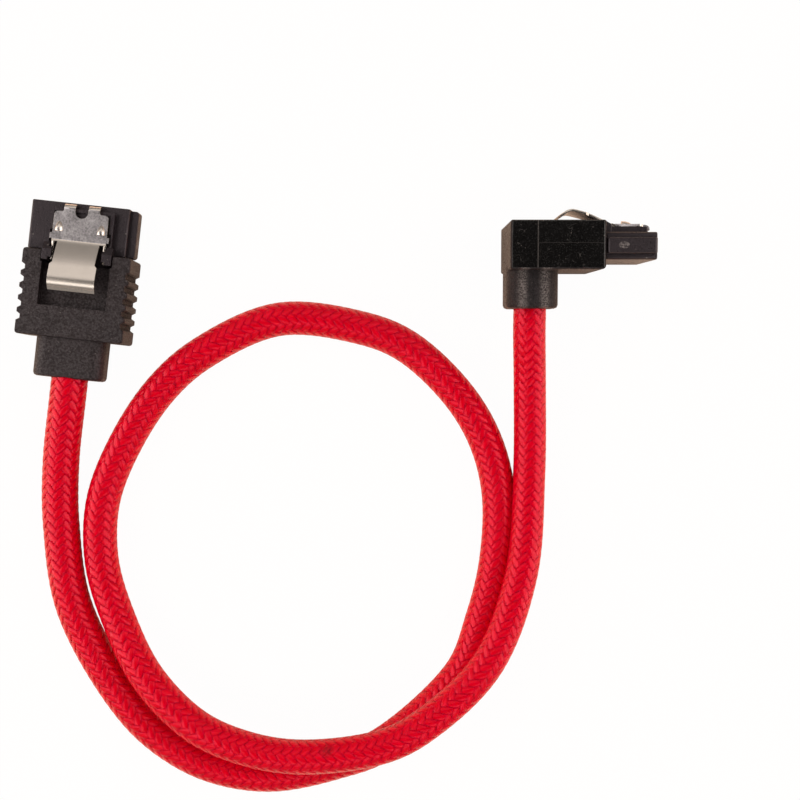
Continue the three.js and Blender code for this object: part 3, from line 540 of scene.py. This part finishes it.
def grained_grip(name, parted):
    """The eroded grip plastic; a parted boot also gets a painted highlight on its two lobe crests, with a
    dark line between.
    """
    black, grain_depth, shiniest = (BOOT_BLACK, 0.16, 0.38) if parted else (GRIP_BLACK, 0.09, 0.56)
    material, tree, shader, place, colour, height = plastic(name, black, GRIP_ROUGHNESS, grain_depth)
    flecks = add(tree, "ShaderNodeTexNoise", links={"Vector": (place, "Object")},
                 inputs={"Scale": 1 / (0.26 * MM), "Detail": 2.0, "Roughness": 0.5})
    gloss = add(tree, "ShaderNodeMapRange", links={"Value": (flecks, "Fac")},
                inputs={"From Min": 0.36, "From Max": 0.64, "To Min": 0.24, "To Max": shiniest})
    if not parted:
        gloss = add(tree, "ShaderNodeMath", operation="MULTIPLY",
                    links={0: (gloss, "Result"), 1: rib_shade(tree, place)})
    tree.links.new(gloss.outputs[0], shader.inputs["Specular IOR Level"])
    shader.inputs["Specular Tint"].default_value = screen_colour(GRIP_TINT)
    # Small pale specks are painted glints, standing for the light that the grain catches; the larger grey
    # spots are dust.
    colour = over(tree, colour, speckle(tree, place, 0.34, 0.08, 0.24, 0.2), GRIP_PAINTED_GLINT)
    colour = over(tree, colour, speckle(tree, place, 1.1, 0.05, 0.08, 0.2), DUST_GREY)
    if parted:
        parts = add(tree, "ShaderNodeSeparateXYZ", links={"Vector": (place, "Object")})
        from_line = add(tree, "ShaderNodeMath", operation="SUBTRACT", inputs={1: BOOT_PARTING * MM},
                        links={0: (parts, "X")})
        away = add(tree, "ShaderNodeMath", operation="ABSOLUTE", links={0: (from_line, "Value")})
        on_boot = add(tree, "ShaderNodeMath", operation="LESS_THAN", inputs={1: BOOT_TOP_END * MM},
                      links={0: (parts, "Y")})
        from_crest = add(tree, "ShaderNodeMath", operation="SUBTRACT", inputs={1: HALF_LOBE * MM},
                         links={0: (away, "Value")})
        crest_gap = add(tree, "ShaderNodeMath", operation="ABSOLUTE", links={0: (from_crest, "Value")})
        crest = add(tree, "ShaderNodeMapRange", interpolation_type="SMOOTHSTEP",
                    links={"Value": (crest_gap, "Value")},
                    inputs={"From Min": 0.9 * MM, "From Max": 0.1 * MM, "To Min": 0.0, "To Max": 1.0})
        glitter = add(tree, "ShaderNodeTexNoise", inputs={"Scale": 1 / (0.17 * MM), "Detail": 2.0},
                      links={"Vector": (place, "Object")})
        glitter_range = add(tree, "ShaderNodeMapRange", links={"Value": (glitter, "Fac")},
                            inputs={"From Min": 0.4, "From Max": 0.62, "To Min": 0.1, "To Max": 1.0})
        crest_highlight_grain = add(tree, "ShaderNodeMath", operation="MULTIPLY",
                       links={0: (crest, "Result"), 1: (glitter_range, "Result")})
        painted_highlight_mask = add(tree, "ShaderNodeMath", operation="MULTIPLY",
                         links={0: (crest_highlight_grain, "Value"), 1: (on_boot, "Value")})
        # Painted highlight: paler colour on each lobe's crest, where the light falls.
        colour = over(tree, colour, (painted_highlight_mask, "Value"), BOOT_PAINTED_HIGHLIGHT)
        colour = over(tree, colour, thin_line(tree, (parts, "X"), BOOT_PARTING, 0.07, 0.9), PARTING_BLACK)
    finish_plastic(tree, shader, colour, height)
    return material


grained_pvc = grained_grip("moulded_pvc_eroded_grain", False)
parted_pvc = grained_grip("moulded_pvc_eroded_grain_parted_boot", True)
print("grips:", grained_pvc.name, parted_pvc.name)

# %% [markdown]
# The wide flat flank of the right-angle grip comes from a polished part of the tool. It is
# glossier, so dust and hair scratches show on it, and so do the thin lines where parts of
# the tool met. All of them are too shallow to see as relief here, so they are colour only.

# %% The polished flank
FLANK_BLACK = "#0b0a0a"
SCRATCH_GREY = "#6a6664"
TOOL_LINE_GREY = ("#5d5856", "#4d4948")     # the line across, the fainter line along
TOOL_LINE_ACROSS = 25.15
TOOL_LINE_ALONG = 4.79


def polished_flank(name):
    """The polished flank: dust, hair scratches and tool lines on deep black."""
    material, tree, shader, place, colour, height = plastic(name, FLANK_BLACK, 0.2, 0.002)
    hairs = add(tree, "ShaderNodeTexNoise", links={"Vector": (place, "Object")},
                inputs={"Scale": 1 / (1.7 * MM), "Detail": 1.0, "Distortion": 1.2})
    near_hair = add(tree, "ShaderNodeMath", operation="COMPARE", inputs={1: 0.5, 2: 0.007},
                    links={0: (hairs, "Fac")})
    patches = add(tree, "ShaderNodeTexNoise", inputs={"Scale": 1 / (1.1 * MM), "Detail": 2.0},
                  links={"Vector": (place, "Object")})
    patch_range = add(tree, "ShaderNodeMapRange", links={"Value": (patches, "Fac")},
                      inputs={"From Min": 0.5, "From Max": 0.65, "To Min": 0.0, "To Max": 0.35})
    hair_mask = add(tree, "ShaderNodeMath", operation="MULTIPLY",
                    links={0: (near_hair, "Value"), 1: (patch_range, "Result")})
    colour = over(tree, colour, (hair_mask, "Value"), SCRATCH_GREY)
    colour = over(tree, colour, speckle(tree, place, 0.9, 0.05, 0.09, 0.35), DUST_GREY)
    parts = add(tree, "ShaderNodeSeparateXYZ", links={"Vector": (place, "Object")})
    across_mask = thin_line(tree, (parts, "X"), TOOL_LINE_ACROSS, 0.06, 0.5)
    colour = over(tree, colour, across_mask, TOOL_LINE_GREY[0])
    in_front = add(tree, "ShaderNodeMath", operation="GREATER_THAN", inputs={1: TOOL_LINE_ACROSS * MM},
                   links={0: (parts, "X")})
    mid_line, _ = thin_line(tree, (parts, "Y"), TOOL_LINE_ALONG, 0.05, 0.2)
    mid_here = add(tree, "ShaderNodeMath", operation="MULTIPLY",
                   links={0: (mid_line, "Value"), 1: (in_front, "Value")})
    colour = over(tree, colour, (mid_here, "Value"), TOOL_LINE_GREY[1])
    finish_plastic(tree, shader, colour, height)
    return material


smooth_pvc = polished_flank("moulded_pvc_polished_tool")
print("flank:", smooth_pvc.name)

# %% [markdown]
# The insulators are a hard plastic, filled with glass fibre so that they hold the contacts
# straight in the heat of soldering. It is moulded with a finer, shallower grain. On its
# key each one keeps a small grainy gate mark, where the plastic ran in. The mark is an
# oval spot of paler colour, longest along the plug.

# %% The insulator
INSULATOR_BLACK = "#120c0e"
INSULATOR_TINT = "#fceffa"
GATE_GREY = "#77706e"
GATE_RADIUS = 0.66
GATE_MARKS = [              # the place of each mark, and how much narrower it is each way
    ((35.37, 4.54, 13.75), (1.0, 1.6, 1.6)),
    ((-24.63, 5.97, 2.87), (1.6, 1.0, 1.6)),
]


def insulator(name):
    """The insulator plastic with the gate mark of each nose."""
    material, tree, shader, place, colour, height = plastic(name, INSULATOR_BLACK, 0.38, 0.05)
    shader.inputs["Specular Tint"].default_value = screen_colour(INSULATOR_TINT)
    colour = over(tree, colour, speckle(tree, place, 1.4, 0.05, 0.09, 0.45), DUST_GREY)
    for spot, squeeze in GATE_MARKS:
        offset = add(tree, "ShaderNodeVectorMath", operation="SUBTRACT", links={0: (place, "Object")},
                     inputs={1: tuple(v * MM for v in spot)})
        squeezed = add(tree, "ShaderNodeVectorMath", operation="MULTIPLY", inputs={1: squeeze},
                       links={0: (offset, "Vector")})
        reach = add(tree, "ShaderNodeVectorMath", operation="LENGTH", links={0: (squeezed, "Vector")})
        inside = add(tree, "ShaderNodeMath", operation="LESS_THAN", inputs={1: GATE_RADIUS * MM},
                     links={0: (reach, "Value")})
        torn = add(tree, "ShaderNodeTexNoise", inputs={"Scale": 1 / (0.16 * MM), "Detail": 2.0},
                   links={"Vector": (place, "Object")})
        torn_range = add(tree, "ShaderNodeMapRange", links={"Value": (torn, "Fac")},
                         inputs={"From Min": 0.42, "From Max": 0.62, "To Min": 0.1, "To Max": 0.8})
        gate_mask = add(tree, "ShaderNodeMath", operation="MULTIPLY",
                        links={0: (inside, "Value"), 1: (torn_range, "Result")})
        colour = over(tree, colour, (gate_mask, "Value"), GATE_GREY)
    finish_plastic(tree, shader, colour, height)
    return material


nose_polymer = insulator("moulded_glass_filled_insulator")
print("gate marks:", len(GATE_MARKS))

# %% [markdown]
# The latch is stamped from bright spring steel strip and then bent. Rolling leaves fine
# lines and small pits. It is a true metal, so its colour is mostly what it mirrors: the
# flat plate mirrors the dim top of the light tent, and the raised tongue mirrors the bright
# back of it. Bending and handling polish the tongue, so it gets a second, smoother finish,
# and it is painted a paler, warmer grey than the plate, a painted reflection of that bright back.

# %% Spring steel
STEEL_GREY = "#9a979a"
TONGUE_PAINTED_LIGHT_GREY = "#d8d0c8"
ROLLING_LINES = 0.08        # apart; they run along the table's Y, which is along the straight plug
LINE_LENGTH = 1.4
STEEL_PITS = 0.22
STEEL_CLOUD = 1.6


def spring_steel(name, colour, roughness, grain, mottle):
    """Bright rolled strip with fine lines, pits and cloudy patches."""
    material, tree, shader = new_material(name, colour, roughness, metallic=1.0)
    place = add(tree, "ShaderNodeTexCoord")
    rolling_scale = add(tree, "ShaderNodeVectorMath", operation="MULTIPLY",
                        inputs={1: tuple(1 / (v * MM) for v in (ROLLING_LINES, LINE_LENGTH, ROLLING_LINES))},
                        links={0: (place, "Object")})
    rolling = add(tree, "ShaderNodeTexNoise", inputs={"Scale": 1.0, "Detail": 2.0},
                  links={"Vector": (rolling_scale, "Vector")})
    pits = add(tree, "ShaderNodeTexNoise", inputs={"Scale": 1 / (STEEL_PITS * MM), "Detail": 3.0},
               links={"Vector": (place, "Object")})
    both = add(tree, "ShaderNodeMath", operation="ADD", links={0: (rolling, "Fac"), 1: (pits, "Fac")})
    cloud = add(tree, "ShaderNodeTexNoise", inputs={"Scale": 1 / (STEEL_CLOUD * MM), "Detail": 2.0},
                links={"Vector": (place, "Object")})
    patchy = add(tree, "ShaderNodeMath", operation="ADD", links={0: (cloud, "Fac"), 1: (pits, "Fac")})
    tone = add(tree, "ShaderNodeMapRange", links={"Value": (patchy, "Value")},
               inputs={"From Min": 0.7, "From Max": 1.3, "To Min": 1 - mottle, "To Max": 1 + mottle})
    toned = add(tree, "ShaderNodeVectorMath", operation="SCALE",
                inputs={0: screen_colour(colour)[:3]}, links={"Scale": (tone, "Result")})
    tree.links.new(toned.outputs["Vector"], shader.inputs["Base Color"])
    bump = add(tree, "ShaderNodeBump", inputs={"Strength": 0.5, "Distance": grain * MM},
               links={"Height": (both, "Value")})
    tree.links.new(bump.outputs["Normal"], shader.inputs["Normal"])
    return material


rolled_steel = spring_steel("rolled_spring_steel", STEEL_GREY, 0.4, 0.02, 0.55)
# The same steel as the plate, but the tongue's grey is painted paler and warmer: painted light.
burnished_painted_light_steel = spring_steel("burnished_spring_steel_painted_light", TONGUE_PAINTED_LIGHT_GREY, 0.26, 0.0012, 0.03)
print("steels:", rolled_steel.name, burnished_painted_light_steel.name)

# %% [markdown]
# The contacts are plated with gold, which is smooth but keeps the stamped strip's slight
# unevenness in its shine. The pairs are wrapped in aluminium foil, which creases.

# %% Gold plate and foil
CONTACT_GOLD = "#e3b765"
PLATING_PATCH = 0.2
FOIL_GREY = "#c6c8ca"
FOIL_CREASE = 0.5

gold_plate, tree, shader = new_material("gold_plated_contact", CONTACT_GOLD, 0.26, metallic=1.0)
place = add(tree, "ShaderNodeTexCoord")
plating = add(tree, "ShaderNodeTexNoise", inputs={"Scale": 1 / (PLATING_PATCH * MM), "Detail": 2.0},
              links={"Vector": (place, "Object")})
gold_rough = add(tree, "ShaderNodeMapRange", links={"Value": (plating, "Fac")},
                 inputs={"To Min": 0.18, "To Max": 0.36})
tree.links.new(gold_rough.outputs["Result"], shader.inputs["Roughness"])

pair_foil, tree, shader = new_material("wrapped_aluminium_foil", FOIL_GREY, 0.38, metallic=1.0)
place = add(tree, "ShaderNodeTexCoord")
creases = add(tree, "ShaderNodeTexNoise", inputs={"Scale": 1 / (FOIL_CREASE * MM), "Detail": 4.0},
              links={"Vector": (place, "Object")})
foil_bump = add(tree, "ShaderNodeBump", inputs={"Strength": 0.6, "Distance": 0.05 * MM},
                links={"Height": (creases, "Fac")})
tree.links.new(foil_bump.outputs["Normal"], shader.inputs["Normal"])
print("metals:", gold_plate.name, pair_foil.name)

# %% [markdown]
# The boot of the right-angle grip is moulded in two halves, and each half is a soft lobe.
# The solid has the plain outline, so its two wide sides are cut into narrow strips along
# the parting line, and the strips are sunk, deepest at the line and not at all at the two
# crests. A shape that can be seen is made as a shape: bump would leave the outline flat.

# %% The two lobes of the right-angle boot
BOOT_TILT = math.radians(3.5)   # the boot leans by the tilt of its plug
BOOT_ROOT = 2.5             # where the wall stands on the table's level
BOOT_AXIS_HEIGHT = 6.825
BOOT_SKIN = (3.8, 4.2, 4.6)     # from the axis of the boot: lobes fade in, are full, end at its outer skin
LOBE_DEPTH = 0.3
LOBE_CUTS = (0.0, 0.16, 0.34, 0.54, 0.76, 1.0, HALF_LOBE)
WALL_ROOM = 0.02            # so far past the boot's root still counts as boot
CUT_SNAP = 0.0001           # a corner this near to a cut is on it


def lobe_the_boot(work):
    """Sinks the middle of the boot's two wide sides along the parting line, so that each half is a lobe."""
    tilt_cos, tilt_sin = math.cos(BOOT_TILT), math.sin(BOOT_TILT)

    def along_boot(spot):
        return (spot.y / MM - BOOT_ROOT) * tilt_cos + spot.z / MM * tilt_sin

    for cut in sorted({side * place for place in LOBE_CUTS for side in (-1, 1)}):
        boot_faces = [face for face in work.faces if all(along_boot(v.co) < WALL_ROOM for v in face.verts)]
        touched = {edge for face in boot_faces for edge in face.edges}
        corners = {vertex for face in boot_faces for vertex in face.verts}
        bmesh.ops.bisect_plane(
            work, geom=boot_faces + list(touched) + list(corners), dist=CUT_SNAP * MM,
            plane_co=((BOOT_PARTING + cut) * MM, 0, 0), plane_no=(1, 0, 0),
        )
    moved = 0
    for vertex in work.verts:
        off_axis = vertex.co.z / MM * tilt_cos - (vertex.co.y / MM - BOOT_ROOT) * tilt_sin - BOOT_AXIS_HEIGHT
        from_line = abs(vertex.co.x / MM - BOOT_PARTING)
        on_skin = BOOT_SKIN[0] < abs(off_axis) < BOOT_SKIN[2]
        if along_boot(vertex.co) < WALL_ROOM and on_skin and from_line < HALF_LOBE:
            share = min(1.0, (abs(off_axis) - BOOT_SKIN[0]) / (BOOT_SKIN[1] - BOOT_SKIN[0]))
            vertex.co.z -= math.copysign(LOBE_DEPTH * share * (1 - from_line / HALF_LOBE) ** 2, off_axis) * MM
            moved += 1
    print("boot vertices sunk for the lobes:", moved)


print("lobe depth:", LOBE_DEPTH, "mm")

# %% [markdown]
# The CAD solids already have the true outlines of the mouldings, but their edges are
# knife sharp. A small round on an edge is what catches the light. So each visible moulding
# and leaf is a copy of its solid, with flat areas made whole again, a bevel on its sharp
# edges, and its curved faces shaded smooth. The bevel stays clamped, because without that
# it throws corners off the surface. But the shortest edge of a piece then rules the whole
# piece: the straight grip gets a round of only 0.02 mm, the latches one under 0.01 mm, and
# the noses and the right-angle grip almost none.

# %% Rounded copies of the mouldings and the latches
SHARP_ANGLE = math.radians(32)
FLAT_ANGLE = math.radians(1.0)
SAME_CORNER = 0.001         # corners nearer than this are one corner
ROUND_SEGMENTS = 2
FLAT_WEIGHT = 90            # how much the large flat areas rule the shading
NOSE_ROUND = 0.06           # the three rounds are asked for, and the clamp gives less
GRIP_ROUND = 0.07
LATCH_ROUND = 0.045


def settle(made):
    """Turns what the modifiers make into the piece's own mesh."""
    bpy.context.view_layer.update()
    graph = bpy.context.evaluated_depsgraph_get()
    settled = bpy.data.meshes.new_from_object(made.evaluated_get(graph))
    made.modifiers.clear()
    made.data = settled


def rounded_piece(node, name, edge, material, body="cable", reshape=None):
    """A finer copy of a CAD solid with bevelled edges, which stands for it."""
    work = bmesh.new()
    work.from_mesh(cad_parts[node].data)
    bmesh.ops.remove_doubles(work, verts=work.verts, dist=SAME_CORNER * MM)
    bmesh.ops.dissolve_limit(work, angle_limit=FLAT_ANGLE, verts=work.verts, edges=work.edges)
    bmesh.ops.recalc_face_normals(work, faces=work.faces)
    if reshape:
        reshape(work)
    mesh = bpy.data.meshes.new(name)
    work.to_mesh(mesh)
    work.free()
    made = new_object(name, mesh)
    bevel = made.modifiers.new("moulded_edge", "BEVEL")
    bevel.width = edge * MM
    bevel.segments = ROUND_SEGMENTS
    bevel.limit_method = "ANGLE"
    bevel.angle_limit = SHARP_ANGLE
    bevel.use_clamp_overlap = True
    settle(made)
    made.data.shade_smooth()
    made.data.set_sharp_from_angle(angle=SHARP_ANGLE)
    flat_areas = made.modifiers.new("flat_areas_stay_flat", "WEIGHTED_NORMAL")
    flat_areas.keep_sharp = True
    flat_areas.weight = FLAT_WEIGHT
    settle(made)
    wear(made, material)
    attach(made, body)
    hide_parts(node)
    print(name, "faces:", len(made.data.polygons))
    return made


def dress_faces(made, material, chosen):
    """Gives the chosen faces of a piece a second material."""
    made.data.materials.append(material)
    for face in made.data.polygons:
        if chosen(face):
            face.material_index = 1


# Each plug's forward direction, how far along it the latch bends up into its tongue, and the way a
# face in front of the bend has to look to keep the rolled finish. On the straight latch that is the
# top of its plate. On the right-angle latch it is only the upper cut edge, so nearly all of that
# leaf is burnished and painted the paler grey.
LATCH_FINISH = {
    "straight": (Vector((0.108, 0.994, 0)), 2.34, Vector((0, 0, 1))),
    "angled": (Vector((1, 0, 0)), 34.43, Vector((0, -0.061, 0.998))),
}
NEARLY_THIS_WAY = 0.985     # cosine of 10 degrees
FACING_UP = 0.9
FLANK_DEPTH = 1.0           # the polished flank lies no further below the grip's top

for plug in ("straight", "angled"):
    rounded_piece(f"{plug}_nose", f"{plug}_insulator", NOSE_ROUND, nose_polymer)
    grip_finish = grained_pvc if plug == "straight" else parted_pvc
    grip = rounded_piece(
        f"{plug}_grip", f"{plug}_moulded_grip", GRIP_ROUND, grip_finish,
        reshape=lobe_the_boot if plug == "angled" else None,
    )
    latch = rounded_piece(
        f"{plug}_latch", f"{plug}_spring_latch", LATCH_ROUND, rolled_steel,
        f"{plug}_latch_leaf",
    )
    forward, bend, rolled_way = LATCH_FINISH[plug]
    dress_faces(
        latch, burnished_painted_light_steel,
        lambda face: face.center.dot(forward) < bend * MM or face.normal.dot(rolled_way) < NEARLY_THIS_WAY,
    )
    if plug == "angled":
        top = max(vertex.co.z for vertex in grip.data.vertices)
        dress_faces(
            grip, smooth_pvc,
            lambda face: face.normal.z > FACING_UP and face.center.z > top - FLANK_DEPTH * MM,
        )

# %% [markdown]
# The contacts and the bared pairs keep their CAD shape and only get their finish.

# %% Contacts and pairs
for name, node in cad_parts.items():
    if "_contact_" in name:
        wear(node, gold_plate)
    if "_pair_" in name:
        wear(node, pair_foil)
print("contacts:", sum("_contact_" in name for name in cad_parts))

# %% [markdown]
# The picture has a bare white ground. The camera sees the table almost wholly as an even
# glow, so it keeps hardly any shadow. To the object it is a warm white sheet that throws
# the light back on the walls of the plugs, and it also gives off a faint painted glow of
# its own, which adds to that light though the table is no lamp.

# %% The table
HALF_TABLE = 1.5            # in metres
TABLE_GLOW = 0.97           # share of the glow in what the camera sees
TABLE_BOUNCE = "#f9dac3"
BOUNCE_PAINTED_GLOW = 0.16          # light that the sheet adds to what it throws back

table_mesh = bpy.data.meshes.new("table")
table_mesh.from_pydata(
    [(-HALF_TABLE, -HALF_TABLE, 0), (HALF_TABLE, -HALF_TABLE, 0), (HALF_TABLE, HALF_TABLE, 0),
     (-HALF_TABLE, HALF_TABLE, 0)],
    [], [(0, 1, 2, 3)],
)
table = new_object("table", table_mesh)
table_white, tree, shader = new_material("white_table", TABLE_BOUNCE, 0.9)
shader.inputs["Specular IOR Level"].default_value = 0.0
# A painted glow: the table adds light of its own to what it throws back.
painted_bounce_glow = add(tree, "ShaderNodeEmission",
                inputs={"Color": screen_colour(TABLE_BOUNCE), "Strength": BOUNCE_PAINTED_GLOW})
bounce = add(tree, "ShaderNodeAddShader", links={0: (shader, "BSDF"), 1: (painted_bounce_glow, "Emission")})
glow = add(tree, "ShaderNodeEmission", inputs={"Color": (1, 1, 1, 1), "Strength": 1.0})
path = add(tree, "ShaderNodeLightPath")
seen = add(tree, "ShaderNodeMath", operation="MULTIPLY", inputs={1: TABLE_GLOW},
           links={0: (path, "Is Camera Ray")})
lit = add(tree, "ShaderNodeMixShader",
          links={0: (seen, "Value"), 1: (bounce, "Shader"), 2: (glow, "Emission")})
tree.links.new(lit.outputs[0], tree.nodes["Material Output"].inputs["Surface"])
wear(table, table_white)
print("table:", 2 * HALF_TABLE, "m wide")

# %% [markdown]
# The picture has no hard shadow, as in a light tent: a big light on each side and a weak
# panel in front.

# %% Lamps
LAMPS = [                   # name, place, size and power
    ("left_softbox", (-0.36, -0.02, 0.21), (0.40, 0.50), 1.7),
    ("right_softbox", (0.38, -0.02, 0.21), (0.40, 0.50), 1.5),
    ("front_panel", (0.0, -0.32, 0.40), (0.60, 0.16), 0.55),
]
LAMP_WARMTH = (1.0, 0.93, 0.87)
for name, spot, size, power in LAMPS:
    lamp = bpy.data.lights.new(name, "AREA")
    lamp.shape = "RECTANGLE"
    lamp.size, lamp.size_y = size
    lamp.energy = power
    lamp.color = LAMP_WARMTH
    holder = new_object(name, lamp)
    holder.location = spot
    aim = Vector((PICTURE_MIDDLE[0] * MM, PICTURE_MIDDLE[1] * MM, 0)) - Vector(spot)
    holder.rotation_euler = aim.to_track_quat("-Z", "Y").to_euler()
print("lamps:", len(LAMPS))

# %% [markdown]
# The tent itself is the world. It is dim at the top, where the camera looks in, brighter
# towards the horizon, and glows high up at the back, which the raised tongue mirrors. The
# camera sees it as plain white.

# %% The light tent
world = bpy.data.worlds.new("light_tent")
scene.world = world
world.use_nodes = True
tree = world.node_tree
tent = tree.nodes["Background"]
direction = add(tree, "ShaderNodeTexCoord")
parts = add(tree, "ShaderNodeSeparateXYZ", links={"Vector": (direction, "Generated")})
height = add(tree, "ShaderNodeMapRange", links={"Value": (parts, "Z")},
             inputs={"From Min": 0.45, "From Max": 0.92, "To Min": 0.3, "To Max": 0.03})
towards_back = add(tree, "ShaderNodeMapRange", links={"Value": (parts, "Y")},
                   inputs={"From Min": 0.16, "From Max": 0.32, "To Min": 0.0, "To Max": 0.85})
above_horizon = add(tree, "ShaderNodeMapRange", links={"Value": (parts, "Z")},
                    inputs={"From Min": 0.52, "From Max": 0.74, "To Min": 0.0, "To Max": 1.0})
back_light = add(tree, "ShaderNodeMath", operation="MULTIPLY",
                 links={0: (towards_back, "Result"), 1: (above_horizon, "Result")})
brightness = add(tree, "ShaderNodeMath", operation="ADD",
                 links={0: (height, "Result"), 1: (back_light, "Value")})
path = add(tree, "ShaderNodeLightPath")
strength = add(tree, "ShaderNodeMix", data_type="FLOAT", inputs={3: 1.0},
               links={0: (path, "Is Camera Ray"), 2: (brightness, "Value")})
tree.links.new(strength.outputs[0], tent.inputs["Strength"])
tint = add(tree, "ShaderNodeMix", data_type="RGBA", inputs={6: LAMP_WARMTH + (1.0,), 7: (1, 1, 1, 1)},
           links={0: (path, "Is Camera Ray")})
tree.links.new(tint.outputs[2], tent.inputs["Color"])
print("world:", world.name)
